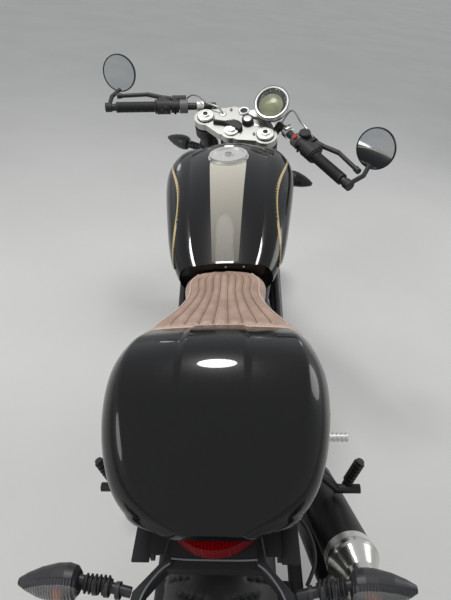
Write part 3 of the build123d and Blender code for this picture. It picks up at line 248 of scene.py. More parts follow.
def fluted(name, colour, roughness, spacing_mm, place, **sockets):
    """A lens material with flutes across its width."""
    made = material(name, colour, roughness, IOR=1.49, **sockets)
    across = add(made, "SeparateXYZ", drawing(made, place)).outputs["X"]
    ripple(made, across, spacing_mm, 0.4)
    return made


CLEAR, HOOD_EDGE = "#f3f3f1", -31.0
red_lens = fluted("red_acrylic", "#a50f16", 0.12, 5.0, UPRIGHT, Coat_Weight=1.0,
                  Transmission_Weight=0.25)
clear_lens = fluted("clear_acrylic_rear", CLEAR, 0.06, 4.0, UPRIGHT, Transmission_Weight=0.85)
front_lens = fluted("clear_acrylic_front", CLEAR, 0.06, 4.0, TURNED, Transmission_Weight=0.85)
spot = add(clear_lens, "SeparateXYZ", drawing(clear_lens, UPRIGHT)).outputs
hood = add(clear_lens, "Math", spot["Y"], HOOD_EDGE, operation="GREATER_THAN")
join(clear_lens, add(clear_lens, "MixRGB", hood, CLEAR, "#2e2e30"), "Base Color")
vary(clear_lens, hood, 0.85, 0.0, "Transmission Weight")
vary(clear_lens, hood, 0.06, 0.42)
lamp_glass = fluted("lamp_glass", "#f5f7f8", 0.04, 9.0, TURNED, Transmission_Weight=0.95)
amber = material("amber_bulb", "#d9701a", 0.2, patches=("#d2661a", "#e28a2c", 6.0),
                 Coat_Weight=0.5)

# %% [markdown]
# **Leather.** The seat is brown upholstery leather. Its grain is a net of fine
# creases about 2 mm apart; the dye is a little uneven, and the surface has the
# faint sheen of a waxed hide.

# %% Leather
leather = material("brown_leather", "#a2826f", (0.38, 0.56),
                   patches=("#a08473", "#b69a88", 38.0, (0.35, 0.68)), grained=(2.0, 0.12, None),
                   Sheen_Weight=0.15)
piping_leather = material("pale_piping", "#cdb6a5", (0.42, 0.6), grained=(1.5, 0.06, None))
thread = material("seat_thread", "#d2bfae", 0.7, patches=("#c6b19d", "#dccbb9", 2.0),
                  Sheen_Weight=0.3)
# Seam thread darker than the leather: real stitches, with painted shade of the channel grooves they
# lie in.
thread_with_painted_shade = material("seam_stitch_painted_shade", "#75594a", 0.7, patches=("#6c5142", "#806353", 2.0),
                       Sheen_Weight=0.3)

# %% [markdown]
# ** Tank paint.** A silver-grey stripe runs over the crown from the filler to the
# seat. It is paint, so it belongs in the material: where the drawing's x is less
# than the stripe's half width, the colour changes. The stripe narrows to the rear,
# and its lacquer is satin, so it hides reflections that the black shows. Its colour
# runs from dark grey at the rear to pale grey at the front, which is a painted
# highlight of the lamps on the stripe.

# %% Tank stripe
PAINT_BLACK = "#060607"
STRIPE_REAR, STRIPE_FRONT, STRIPE_FLOOR = 573.0, 931.0, 800.0
tank_paint = material("tank_lacquer", PAINT_BLACK, 0.28, Specular_IOR_Level=0.1,
                      Coat_Weight=0.55, Coat_Roughness=0.04)
spot = add(tank_paint, "SeparateXYZ", drawing(tank_paint, UPRIGHT)).outputs
half_width = add(tank_paint, "MapRange", spot["Y"], From_Min=575.0, From_Max=885.0,
                 To_Min=29.0, To_Max=47.0)
aside = add(tank_paint, "Math", spot["X"], operation="ABSOLUTE")
mask = add(tank_paint, "Math", aside, half_width, operation="LESS_THAN")
for test, way, limit in (("GREATER_THAN", "Y", STRIPE_REAR), ("LESS_THAN", "Y", STRIPE_FRONT),
                         ("GREATER_THAN", "Z", STRIPE_FLOOR)):
    within = add(tank_paint, "Math", spot[way], limit, operation=test)
    mask = add(tank_paint, "Math", mask, within, operation="MULTIPLY")
# Painted highlight: the stripe's colour runs from dark grey at the rear to pale grey towards the
# front.
fade = add(tank_paint, "MapRange", spot["Y"], From_Min=STRIPE_REAR, From_Max=900.0)
silver = add(tank_paint, "MixRGB", fade, "#6f6b62", "#c2bdb0")
fleck = add(tank_paint, "TexNoise", Vector=drawing(tank_paint), Scale=900.0, Detail=2.0)
stripe_grain_and_painted_highlight = add(tank_paint, "MixRGB", 0.3, silver, fleck.outputs["Color"],
              blend_type="SOFT_LIGHT")
join(tank_paint, add(tank_paint, "MixRGB", mask, PAINT_BLACK, stripe_grain_and_painted_highlight), "Base Color")
vary(tank_paint, mask, 0.26, 0.55)
vary(tank_paint, mask, 0.55, 0.04, "Coat Weight")

# %% [markdown]
# **Side panels.** Each panel is a lens of two arcs, edged with a gold pinstripe. The
# arcs are circles in the side view, so a point's distance from a circle's centre
# tells how far it is from that edge. Where the panel slopes away from that view, the
# stripe is narrower there, so that its real width stays the same.

# %% Panel pinstripes
LENS = [Vector((592, 792)), Vector((830, 884)), Vector((1082, 846)), Vector((840, 772))]


def circle_through(a, b, c):
    """Centre and radius of the circle through three points."""
    d = 2 * (a.x * (b.y - c.y) + b.x * (c.y - a.y) + c.x * (a.y - b.y))
    ux = (a.length_squared * (b.y - c.y) + b.length_squared * (c.y - a.y)
          + c.length_squared * (a.y - b.y)) / d
    uy = (a.length_squared * (c.x - b.x) + b.length_squared * (a.x - c.x)
          + c.length_squared * (b.x - a.x)) / d
    centre = Vector((ux, uy))
    return centre, (centre - a).length


PINSTRIPE = 3.6
panel_paint = material("panel_lacquer", PAINT_BLACK, 0.24, Specular_IOR_Level=0.1,
                       Coat_Weight=0.55, Coat_Roughness=0.03)
flat_view = add(panel_paint, "VectorMath", drawing(panel_paint, UPRIGHT), (0, 1, 1),
                operation="MULTIPLY")
insets = []
for points in (LENS[:3], LENS[2:] + LENS[:1]):
    centre, radius = circle_through(*points)
    distance = add(panel_paint, "VectorMath", flat_view, (0, *centre),
                   operation="DISTANCE").outputs["Value"]
    insets.append(add(panel_paint, "Math", radius, distance, operation="SUBTRACT"))
normal = add(panel_paint, "NewGeometry").outputs["True Normal"]
slope = add(panel_paint, "VectorMath", normal, (math.cos(LEAN), 0, math.sin(LEAN)),
            operation="DOT_PRODUCT").outputs["Value"]
slope = add(panel_paint, "Math", slope, operation="ABSOLUTE")
width = add(panel_paint, "Math", slope, PINSTRIPE, operation="MULTIPLY")
inset = add(panel_paint, "Math", *insets, operation="MINIMUM")
pinstripe = add(panel_paint, "Math", inset, width, operation="LESS_THAN")
join(panel_paint, add(panel_paint, "MixRGB", pinstripe, PAINT_BLACK, "#c3ad7c"), "Base Color")

# %% [markdown]
# **Cooling fins.** The cylinders are painted black and their fins' edges are then
# machined bright. The edges are where the drawing, turned along a cylinder, is
# furthest from its middle line.

# %% Fin edges
TILT = math.radians(15)
FIN_REACH, FIN_FLANK = 73.0, 78.4
fin_paint = material("machined_fins", "#1c1c1e", 0.45, grained=(1.6, 0.05))
spot = drawing(fin_paint, UPRIGHT)
from_crank = add(fin_paint, "VectorMath", spot, (0, 790, 390), operation="SUBTRACT")
across = add(fin_paint, "SeparateXYZ", spot).outputs["X"]
aside = add(fin_paint, "Math", across, operation="ABSOLUTE")
edge = add(fin_paint, "Math", aside, FIN_FLANK, operation="GREATER_THAN")
for way in ((0, math.sin(TILT), -math.cos(TILT)), (0, math.cos(TILT), math.sin(TILT))):
    offset = add(fin_paint, "VectorMath", from_crank, way,
                 operation="DOT_PRODUCT").outputs["Value"]
    offset = add(fin_paint, "Math", offset, operation="ABSOLUTE")
    rim = add(fin_paint, "Math", offset, FIN_REACH, 0.8, operation="COMPARE")
    edge = add(fin_paint, "Math", edge, rim, operation="MAXIMUM")
join(fin_paint, add(fin_paint, "MixRGB", edge, "#1c1c1e", "#b9b7b2"), "Base Color")
join(fin_paint, edge, "Metallic")

# %% [markdown]
# Each CAD piece whose shape is right keeps it and gets the finish of the real one.

# %% Dress the CAD pieces
FINISHES = (
    (powder_coat, "frame oil_cooler fork_tubes front_rim rear_rim side_stand"),
    (cast_black, "swingarm crankcase rear_caliper front_caliper passenger_footrests bottom_yoke"
                 " fork_legs clip_ons levers headlight headlight_brackets"),
    (plastic, "battery_box airbox rear_fender front_fender bar_controls mirrors instrument"),
    (satin_alloy, "filler_ring filler_cap rider_footrests yoke_nuts"),
    (steel, "front_disc rear_disc rear_sprocket"), (rubber, "front_tyre rear_tyre"),
    (exhaust_black, "exhaust_headers silencers"), (turned_alloy, "silencer_caps"),
    (pod_grey, "indicators_rear indicators_front"), (red_lens, "tail_light"),
    (clear_lens, "indicator_lenses_rear"), (front_lens, "indicator_lenses_front"),
    (lamp_glass, "headlight_lens"), (mirror_silver, "mirror_glass"), (yoke_alloy_painted_shade, "top_yoke"),
    (tank_paint, "fuel_tank"), (panel_paint, "tank_panels"), (lacquer, "seat_cowl"),
    (leather, "seat"), (soft_rubber, "grips"), (fin_paint, "cylinders"),
    (cover_grey, "engine_covers"), (oiled_steel, "chain"), (dark_bolt, "rear_shock"))
bare = set(nodes)
for finish, names in FINISHES:
    for name in names.split():
        nodes[name].data.materials.clear()
        nodes[name].data.materials.append(finish)
        bare.remove(name)
print("without a finish:", sorted(bare))

# %% [markdown]
# New pieces start as a bmesh in drawing millimetres. One function puts a finished
# shape in place, turns its faces outward, smooths it and lets it ride on its body.

# %% Shape helpers
SIDES = (("right", 1), ("left", -1))


def placed(name, data):
    """A new object in the scene."""
    made = bpy.data.objects.new(name, data)
    bpy.context.scene.collection.objects.link(made)
    return made


def as_mesh(made):
    """The mesh that an object's modifiers or its curve's bevel give."""
    depsgraph = bpy.context.evaluated_depsgraph_get()
    return bpy.data.meshes.new_from_object(made.evaluated_get(depsgraph))


def applied(made):
    """Fixes an object's modifiers in its mesh."""
    made.data = as_mesh(made)
    made.modifiers.clear()


def piece(name, shape, home, finish, stands_for=(), sharp=35):
    """Makes an object from a bmesh drawn in millimetres."""
    body, place = home
    bmesh.ops.transform(shape, matrix=place, verts=shape.verts)
    bmesh.ops.recalc_face_normals(shape, faces=shape.faces)
    mesh = bpy.data.meshes.new(name)
    shape.to_mesh(mesh)
    shape.free()
    made = placed(name, mesh)
    mesh.materials.append(finish)
    mesh.polygons.foreach_set("use_smooth", [True] * len(mesh.polygons))
    mesh.set_sharp_from_angle(angle=math.radians(sharp))
    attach(made, body)
    if stands_for:
        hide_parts(*stands_for)
    return made


def pointing(origin, way):
    """A matrix whose Z runs along way from origin."""
    way = Vector(way).normalized()
    return Matrix.Translation(origin) @ way.to_track_quat("Z", "Y").to_matrix().to_4x4()


def lathe(shape, profile, place=None, steps=48):
    """Spins (radius, height) points about Z and puts the form in its place."""
    start = [shape.verts.new((radius, 0, height)) for radius, height in profile]
    edges = [shape.edges.new(pair) for pair in zip(start, start[1:])]
    before = set(shape.verts) - set(start)
    bmesh.ops.spin(shape, geom=start + edges, cent=(0, 0, 0), axis=(0, 0, 1),
                   angle=2 * math.pi, steps=steps, use_merge=True)
    spun = [vert for vert in shape.verts if vert not in before]
    bmesh.ops.remove_doubles(shape, verts=spun, dist=0.001)
    if place is not None:
        bmesh.ops.transform(shape, matrix=place, verts=[vert for vert in spun if vert.is_valid])


def turned(name, home, finish, profile, spots=((0, 0, 0),), steps=48):
    """A piece with one lathed form at each spot."""
    shape = bmesh.new()
    for spot in spots:
        lathe(shape, profile, Matrix.Translation(spot), steps)
    return piece(name, shape, home, finish)


def block(shape, size, place):
    """Adds a box round the origin of a place and returns its vertices."""
    return bmesh.ops.create_cube(shape, size=1.0,
                                 matrix=place @ Matrix.Diagonal((*size, 1)))["verts"]


def edges_of(verts):
    """The edges that meet at the given vertices."""
    return list({edge for vert in verts for edge in vert.link_edges})


def round_edges(shape, offset, edges=None):
    """Rounds the given edges of a shape, or all of them."""
    bmesh.ops.bevel(shape, geom=edges or shape.edges[:], offset=offset, segments=2,
                    affect="EDGES", profile=0.5, material=-1)


def bolt_head(shape, place, radius, height):
    """A cap screw: a tapered drum with a socket sunk in its top."""
    before = set(shape.verts)
    bmesh.ops.create_cone(shape, cap_ends=True, segments=18, radius1=radius,
                          radius2=radius * 0.94, depth=height,
                          matrix=Matrix.Translation((0, 0, height / 2)))
    made = [vert for vert in shape.verts if vert not in before]
    top = [face for face in {f for vert in made for f in vert.link_faces}
           if face.calc_center_median().z > height * 0.99]
    bmesh.ops.inset_region(shape, faces=top, thickness=radius * 0.45)
    bmesh.ops.inset_region(shape, faces=top, thickness=radius * 0.06, depth=-height * 0.45)
    made = [vert for vert in shape.verts if vert not in before]
    bmesh.ops.transform(shape, matrix=place, verts=made)


def screws(name, home, spots, way, radius, height, finish):
    """Screws of one size at several places."""
    shape = bmesh.new()
    for spot in spots:
        bolt_head(shape, pointing(spot, way), radius, height)
    return piece(name, shape, home, finish)


# %% [markdown]
# **The seat.** It is foam under a sewn cover, so it bulges between its seams. The
# CAD solid gives its place; a cloth simulation with air pressure inside rounds it
# as foam does, and the sewn channels are pressed in afterwards, because remeshing
# would erase them.

# %% Seat sections
SEAT_FLOOR, SEAT_REAR, SEAT_NOSE = 733.3, 342, 565
# A section: y, half width and height of the lower edge, greatest half width and its
# height, height of the top.
SEAT = [(SEAT_NOSE, 26, 767.3, 40, 790, 806), (535, 56, 753.3, 70, 788, 806),
        (470, 72, SEAT_FLOOR, 88, 786, 808), (420, 94, SEAT_FLOOR, 114, 790, 814),
        (380, 116, SEAT_FLOOR, 139, 796, 822), (SEAT_REAR, 126, SEAT_FLOOR, 149, 804, 832)]


def smooth_step(low, high, value):
    """A share of the way from low to high that starts and ends gently."""
    share = max(0.0, min(1.0, (value - low) / (high - low)))
    return share * share * (3 - 2 * share)


def station(table, y):
    """The body's section at y, by smooth steps between its drawn sections."""
    rows = sorted(table)
    low = max(0, min(len(rows) - 2, sum(row[0] <= y for row in rows) - 1))
    first, last = rows[low], rows[low + 1]
    before, after = rows[max(0, low - 1)], rows[min(len(rows) - 1, low + 2)]
    span = last[0] - first[0]
    s = (y - first[0]) / span
    values = []
    for earlier, a, b, later in list(zip(before, first, last, after))[1:]:
        slope_a = (b - earlier) / (last[0] - before[0]) * span
        slope_b = (later - a) / (after[0] - first[0]) * span
        values.append((2 * s ** 3 - 3 * s ** 2 + 1) * a + (s ** 3 - 2 * s ** 2 + s) * slope_a
                      + (3 * s ** 2 - 2 * s ** 3) * b + (s ** 3 - s ** 2) * slope_b)
    return values


def arc_point(a, b, c, share):
    """A point on the circle from a through b to c."""
    centre, radius = circle_through(Vector(a), Vector(b), Vector(c))
    start, middle, end = (math.atan2(p[1] - centre.y, p[0] - centre.x) for p in (a, b, c))
    sweep = (end - start) % (2 * math.pi)
    if (middle - start) % (2 * math.pi) > sweep:
        sweep -= 2 * math.pi
    angle = start + sweep * share
    return centre.x + radius * math.cos(angle), centre.y + radius * math.sin(angle)


def outline_point(section, t):
    """A point on a section: t runs from -1 at the left floor edge, over 0 at the top, to 1."""
    floor_half, floor, half, waist, top = section
    shoulder, shoulder_z = 0.8 * half, top - 0.17 * (top - waist)
    size = abs(t)
    if size < 0.5:
        x, z = arc_point((-shoulder, shoulder_z), (0, top), (shoulder, shoulder_z), 0.5 + size)
    else:
        x, z = arc_point((shoulder, shoulder_z), (half, waist), (floor_half, floor),
                         2 * size - 1)
    return math.copysign(x, t) if t else 0.0, z


# %% [markdown]
# The channels fan out towards the rear, so each one keeps its share of the seat's
# width. A groove is a narrow dip with a smooth bottom. The foam bulges at the nose,
# where the cover is pulled tight.

# %% Padded seat
CHANNELS = [0.11, 0.32, 0.53, 0.74]
CHANNEL_SPREAD, CHANNEL_WIDTH, CHANNEL_DEPTH = 0.86, 3.4, 4.2
# The cloth starts a little smaller than the pad, and may push it out by PUFF metres.
START_SIZE, VOXEL, PRESSURE, CLOTH_FRAMES, PUFF = 0.985, 0.005, 4.0, 20, 0.006


def nose_swell(y):
    """How much wider the cover is than the pad below it."""
    return 1 + 0.32 * smooth_step(485, 562, y)


def seat_section(y):
    """The covered seat's section at y."""
    floor_half, floor, half, waist, top = station(SEAT, max(SEAT_REAR, min(SEAT_NOSE, y)))
    return floor_half * nose_swell(y), floor, half * nose_swell(y), waist, top


def channel_spread(y):
    """The half width over which the channels fan out at y."""
    return seat_section(y)[2] * CHANNEL_SPREAD


def pad_depth(point):
    """How far the cover dips at a point of the upright drawing."""
    if point.y < 362 or point.z < 775:
        return 0.0
    width = channel_spread(point.y)
    dip = sum(math.exp(-((abs(point.x) - line * width) / CHANNEL_WIDTH) ** 2)
              for line in CHANNELS)
    fade = smooth_step(360, 375, point.y) * smooth_step(566, 540, point.y)
    return CHANNEL_DEPTH * min(1.0, dip) * fade


def soft_seat():
    """The seat's CAD solid, remeshed, swollen by pressure and sewn."""
    mesh = nodes["seat"].data.copy()
    made = placed("seat_cover", mesh)
    shape = bmesh.new()
    shape.from_mesh(mesh)
    bmesh.ops.remove_doubles(shape, verts=shape.verts, dist=0.0001)
    middle = UPRIGHT @ Vector((0, 445, 775))
    for vert in shape.verts:
        vert.co = middle + (vert.co - middle) * START_SIZE
    shape.to_mesh(mesh)
    shape.free()
    remesh = made.modifiers.new("even", "REMESH")
    remesh.mode, remesh.voxel_size = "VOXEL", VOXEL
    applied(made)
    rest = [(vert.co.copy(), vert.normal.copy()) for vert in made.data.vertices]
    cloth = made.modifiers.new("foam", "CLOTH")
    cloth.settings.use_pressure = True
    cloth.settings.uniform_pressure_force = PRESSURE
    cloth.settings.effector_weights.gravity = 0.0
    cloth.settings.quality = 6
    for step in range(1, CLOTH_FRAMES + 1):
        bpy.context.scene.frame_set(step)
    applied(made)
    bpy.context.scene.frame_set(1)
    inverse = UPRIGHT.inverted()
    for vert, (start, outward) in zip(made.data.vertices, rest):
        rise = max(0.0, min(PUFF, (vert.co - start).dot(outward)))
        drawn = inverse @ (start + outward * rise)
        drawn.z = max(drawn.z, SEAT_FLOOR)
        drawn.y = max(drawn.y, SEAT_REAR - 0.5)
        drawn.x *= nose_swell(drawn.y)
        vert.co = UPRIGHT @ drawn
    smooth = made.modifiers.new("round", "SUBSURF")
    smooth.levels = smooth.render_levels = 1
    applied(made)
    for vert in made.data.vertices:
        drawn = inverse @ vert.co
        drawn.z -= pad_depth(drawn)
        vert.co = UPRIGHT @ drawn
    made.data.materials.clear()
    made.data.materials.append(leather)
    made.data.polygons.foreach_set("use_smooth", [True] * len(made.data.polygons))
    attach(made, "chassis")
    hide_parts("seat")
    return made


seat_cover = soft_seat()
print("seat cover points:", len(seat_cover.data.vertices))

# %% [markdown]
# **Piping and band.** A pale cord is sewn into each edge seam, and a stitched band
# crosses the seat where the cowl begins. The cord is a curve with a round bevel,
# and the band is a grid laid on the seat's own section.

# %% Seat trim


def tube_mesh(name, points, radius, home, finish):
    """A round tube along control points, made a mesh in its place."""
    curve = bpy.data.curves.new(name, "CURVE")
    curve.dimensions = "3D"
    curve.bevel_depth, curve.bevel_resolution = radius, 3
    curve.use_fill_caps = True
    line = curve.splines.new("NURBS")
    line.points.add(len(points) - 1)
    for spot, point in zip(line.points, points):
        spot.co = (*point, 1)
    line.order_u, line.resolution_u = 3, 6
    line.use_endpoint_u = True
    drawn = placed(name + "_line", curve)
    shape = bmesh.new()
    shape.from_mesh(as_mesh(drawn))
    bpy.data.objects.remove(drawn)
    return piece(name, shape, home, finish, sharp=60)


bpy.context.view_layer.update()
for name, side in SIDES:
    line = []
    for y in (350, 370, 390, 405, 420, 440, 460, 480, 500, 520, 540, 556):
        x, z = outline_point(seat_section(y), 0.54)
        seam_at = UPRIGHT @ Vector((side * (x + 1), y, z + 2))
        spot, facing = seat_cover.closest_point_on_mesh(seam_at)[1:3]
        line.append(UPRIGHT.inverted() @ (spot + facing * 0.0008))
    tube_mesh(f"seat_piping_{name}", line, 1.5, ON_CHASSIS, piping_leather)

band = bmesh.new()
bmesh.ops.create_grid(band, x_segments=48, y_segments=4, size=1.0)
for vert in band.verts:
    y = 352 + 8 * vert.co.y
    x, z = outline_point(seat_section(y), vert.co.x * 0.72)
    vert.co = (x, y, z + 3.2)
bmesh.ops.solidify(band, geom=band.faces[:], thickness=2.0)
piece("seat_band", band, ON_CHASSIS, piping_leather)

stitches = bmesh.new()
for row_y in (347.0, 357.0):
    for number in range(56):
        x, z = outline_point(seat_section(row_y), -0.7 + 1.4 * number / 55)
        block(stitches, (3.2, 0.9, 0.9), Matrix.Translation((x, row_y, z + 4.4)))
piece("seat_stitches", stitches, ON_CHASSIS, thread)


def dropped(target, x, y):
    """The point where a plumb line at x and y of the drawing meets a piece from above."""
    down = (UPRIGHT.to_3x3() @ Vector((0, 0, -1))).normalized()
    found, spot = target.ray_cast(UPRIGHT @ Vector((x, y, 960)), down)[:2]
    return UPRIGHT.inverted() @ spot if found else None


# Dark stitches along each channel: sewn seams, and painted shade in the grooves.
seams = bmesh.new()
for share in CHANNELS:
    for side in (1, -1):
        for y in range(366, 547, 5):
            ends = [dropped(seat_cover, side * share * channel_spread(y + step), y + step)
                    for step in (-2, 2)]
            if None not in ends:
                middle = (ends[0] + ends[1]) / 2 + Vector((0, 0, 0.2))
                block(seams, (1.3, 1.0, 3.9), pointing(middle, ends[1] - ends[0]))
piece("seat_seams", seams, ON_CHASSIS, thread_with_painted_shade)

strap = bmesh.new()
block(strap, (94, 4, 20), Matrix.Translation((16, 573.6, 806)))
round_edges(strap, 1.2)
piece("tank_strap", strap, ON_CHASSIS, plastic)
domes = bmesh.new()
for x in (1, 40):
    lathe(domes, [(0, 4.4), (1.6, 4.2), (3.2, 3.2), (4.4, 1.4), (4.6, 0)],
          pointing((x, 571.8, 811), (0, -1, 0.5)), steps=20)
piece("tank_strap_screws", domes, ON_CHASSIS, satin_alloy)

# %% [markdown]
# **The cowl.** One moulded and lacquered shell covers the passenger's place. Its
# middle is a raised panel between two creases that fade to the rear, and its lower
# edge rolls outwards. A grid is bent over the drawn sections, then given a wall.

# %% Cowl
COWL = [(340.0, 112, 733.3, 150, 812, 846), (285, 110, 733.3, 163, 828, 882),
        (225, 114, 733.3, 171, 836, 897), (160, 112, 733.3, 168, 828, 886),
        (100, 98, 733.3, 154, 812, 855), (55, 74, 738.3, 130, 794, 822),
        (26, 50, 743.3, 93, 780, 800), (7, 24, 749.3, 46, 770, 783)]
COWL_REAR, COWL_LENGTH = 7, 333
CREASE_DEPTH, ROLLED_EDGE = 3.5, 4.0

cowl = bmesh.new()
bmesh.ops.create_grid(cowl, x_segments=112, y_segments=84, size=1.0)
for vert in cowl.verts:
    y = COWL_REAR + COWL_LENGTH * math.sin((1 + vert.co.y) * math.pi / 4) ** 1.1
    section = station(COWL, y)
    t = vert.co.x * (1 - 0.36 * smooth_step(80, COWL_REAR, y))
    x, z = outline_point(section, t)
    crease = 46 + 6 * smooth_step(340, 220, y)
    raised = 1 - smooth_step(crease - 2.5, crease + 2.5, abs(x))
    if z > section[3]:
        z -= CREASE_DEPTH * (1 - raised) * smooth_step(130, 280, y)
    x += math.copysign(ROLLED_EDGE * smooth_step(0.86, 0.97, abs(vert.co.x)), x)
    vert.co = (x, y, z)
tail = [vert for vert in cowl.verts if vert.co.y < COWL_REAR + 0.01]
bmesh.ops.contextual_create(cowl, geom=tail + [e for e in edges_of(tail) if e.is_boundary])
bmesh.ops.recalc_face_normals(cowl, faces=cowl.faces)
piece("cowl_shell", cowl, ON_CHASSIS, lacquer, stands_for=["seat_cowl"], sharp=60)

# %% [markdown]
# **Tyres.** A road tyre has grooves that run from the middle to the shoulder in
# slanted sickles. One block of the pattern is a grid over one pitch of the tyre; it
# is bent round the crown, its grooves are pressed in, and it is copied round the
# wheel.

# %% Tread
# Each groove: where it starts along the pitch, its slope, from and to what share of
# the half width it runs, and its half width.
GROOVES = ((0.30, 0.55, 0.10, 0.62, 0.050), (0.78, 0.40, 0.38, 0.86, 0.042),
           (0.10, 0.30, 0.66, 0.95, 0.036))
GROOVE_DEPTH, PITCHES = 6.0, 26
BEAD = ((250, 0.86), (246, 0.86), (232, 0.79), (217, 0.79))


def groove_depth(across, forward):
    """How deep the tread is cut, from 0 to 1, at a point of one pitch."""
    depth = 0.0
    for start, slope, inner, outer, width in GROOVES:
        if inner < across < outer:
            line = start + slope * (across - inner) ** 1.3
            gap = (forward - line + 0.5) % 1.0 - 0.5
            ends = min(1.0, (across - inner) / 0.06, (outer - across) / 0.06)
            depth = max(depth, ends * math.exp(-(gap / width) ** 4))
    return depth


def tread(name, home, axle, radius, width, crown, node):
    """A tyre with its whole carcass, made of one pitch turned round the axle."""
    shape = bmesh.new()
    bmesh.ops.create_grid(shape, x_segments=56, y_segments=20, size=1.0)
    ring = radius - crown
    edge = width / 2 - 2
    limit = math.asin(edge / crown)
    pitch = 2 * math.pi / PITCHES
    for vert in shape.verts:
        lean, turn = vert.co.x * limit, (vert.co.y / 2) * pitch
        height = crown - GROOVE_DEPTH * groove_depth(abs(vert.co.x), (vert.co.y + 1) / 2)
        spoke = ring + height * math.cos(lean)
        vert.co = (height * math.sin(lean), spoke * math.sin(turn), spoke * math.cos(turn))
    patch = shape.verts[:] + shape.edges[:] + shape.faces[:]
    for number in range(1, PITCHES):
        copied = bmesh.ops.duplicate(shape, geom=patch)["geom"]
        bmesh.ops.rotate(shape, cent=(0, 0, 0), matrix=Matrix.Rotation(-pitch * number, 3, "X"),
                         verts=[item for item in copied if isinstance(item, bmesh.types.BMVert)])
    bmesh.ops.remove_doubles(shape, verts=shape.verts, dist=0.05)
    shoulder = ring + math.sqrt(crown ** 2 - edge ** 2)
    wall = [(shoulder, edge), (shoulder - 5, edge + 1.2), (shoulder - 9, edge + 0.2),
            ((shoulder + 250) / 2, edge - 1)] + [(r, edge * share) for r, share in BEAD]
    for side in (1, -1):
        start = [shape.verts.new((side * x, 0, r)) for r, x in wall]
        edges = [shape.edges.new(pair) for pair in zip(start, start[1:])]
        bmesh.ops.spin(shape, geom=start + edges, cent=(0, 0, 0), axis=(1, 0, 0),
                       angle=2 * math.pi, steps=96, use_merge=True)
    bmesh.ops.transform(shape, matrix=Matrix.Translation(axle), verts=shape.verts)
    return piece(name, shape, home, rubber, stands_for=[node], sharp=40)


tread("rear_tyre_tread", ON_REAR_WHEEL, REAR_AXLE, 315, 180, 95, "rear_tyre")
tread("front_tyre_tread", ON_FRONT_WHEEL, FRONT_AXLE, 300, 120, 60, "front_tyre")

# %% [markdown]
# **Shock.** A coil spring is a round wire on a helix. A spin with a rise for every
# turn makes a screw, so one ring of points becomes the whole spring.

# %% Spring and damper
LOW, TOP = Vector((-152, 330, 396)), Vector((-140, 420, 676))
on_shock = ("chassis", UPRIGHT @ pointing(LOW, TOP - LOW))
spring = bmesh.new()
ring = bmesh.ops.create_circle(spring, cap_ends=False, segments=10, radius=5.5,
                               matrix=Matrix.Translation((27, 0, 50))
                               @ Matrix.Rotation(math.pi / 2, 4, "X"))["verts"]
turns, rise = 7.5, 178.0
steps = int(turns * 28)
bmesh.ops.spin(spring, geom=ring + edges_of(ring), cent=(0, 0, 0), axis=(0, 0, 1),
               dvec=(0, 0, rise / steps), angle=2 * math.pi * turns, steps=steps)
spring_steel = material("spring_paint", "#c7a13a", 0.4, patches=("#bf9a36", "#cda944", 25.0),
                        Coat_Weight=0.6)
damper = bmesh.new()
lathe(damper, [(0, 10), (12, 10), (12, 40), (33, 40), (33, 46), (20, 46), (20, 120), (22, 122),
               (22, 232), (33, 232), (33, 240), (24, 240), (24, 262), (14, 268), (0, 268)])
for height in (0, (TOP - LOW).length):
    lathe(damper, [(8.4, -13), (17, -13), (18, -11), (18, 11), (17, 13), (8.4, 13), (8.4, -13)],
          Matrix.Translation((0, 0, height)) @ Matrix.Rotation(math.pi / 2, 4, "Y"))
piece("shock_spring", spring, on_shock, spring_steel, sharp=60)
piece("shock_damper", damper, on_shock, dark_bolt, stands_for=["rear_shock"])

# %% [markdown]
# **The cockpit.** The instrument has a satin bezel, a black dial with a ring of
# marks and an olive display under glass. On the yoke stand the fork caps, a black
# boss under a bright cap, two plugs in the riser holes, an arched wall round the stem
# nut and the ignition lock.

# %% Instrument
DIAL_AT, DIAL_WAY = Vector((86, 107, 1018)), Vector((0, -0.41, 0.91)).normalized()
dial_turn = Matrix(((1, 0, 0), (0, DIAL_WAY.z, DIAL_WAY.y), (0, -DIAL_WAY.y, DIAL_WAY.z)))
on_dial = ("steering", FORK @ Matrix.Translation(DIAL_AT) @ dial_turn.to_4x4())
turned("instrument_bezel", on_dial, satin_alloy,
       [(45.4, 9.4), (46.4, 10.2), (50, 10.6), (53, 8.5), (53.4, 2), (52.2, -6)], steps=72)
dial_black = material("dial_black", "#111214", 0.5, grained=(0.6, 0.01))
turned("instrument_dial", on_dial, dial_black,
       [(0, 4.2), (44, 4.2), (46.6, 8.5), (46.8, 9.6)], steps=72)
olive = material("display_olive", "#8f9266", 0.3, patches=("#898c60", "#989b70", 30.0),
                 Coat_Weight=0.5)
turned("instrument_screen", on_dial, olive,
       [(0, 5.0), (35.4, 5.0), (36, 4.6), (36, 4.0)], [(0, -7, 0)])
tick_white = material("dial_marks", "#d8d8d2", 0.5, patches=("#d2d2cc", "#dedfda", 10.0))
ticks = bmesh.new()
for number in range(15):
    length, distance = (3.0, 43.5) if number % 2 else (5.0, 42.5)
    block(ticks, (length, 1.4, 0.6), Matrix.Rotation(math.radians(20 + 10 * number), 4, "Z")
          @ Matrix.Translation((distance, 0, 4.6)))
piece("instrument_ticks", ticks, on_dial, tick_white)
glass = material("dial_glass", "#ffffff", 0.02, grained=(40.0, 0.002, 1.0), IOR=1.45,
                 Specular_IOR_Level=0.1, Transmission_Weight=1.0)
turned("instrument_glass", on_dial, glass,
       [(0, 8.8), (30, 8.4), (46.2, 7.6), (46.2, 7.0), (0, 8.0)], steps=64)

# %% Yoke details
turned("yoke_boss", ON_FORK, plastic,
       [(12.4, 987.6), (17.2, 987.2), (18, 986), (18, 972.2)], [(29, 54, 0)])
turned("yoke_boss_cap", ON_FORK, satin_alloy,
       [(0, 987.4), (3.4, 987.4), (3.8, 988.6), (11, 988.8), (12.6, 988), (12.6, 986)],
       [(29, 54, 0)])

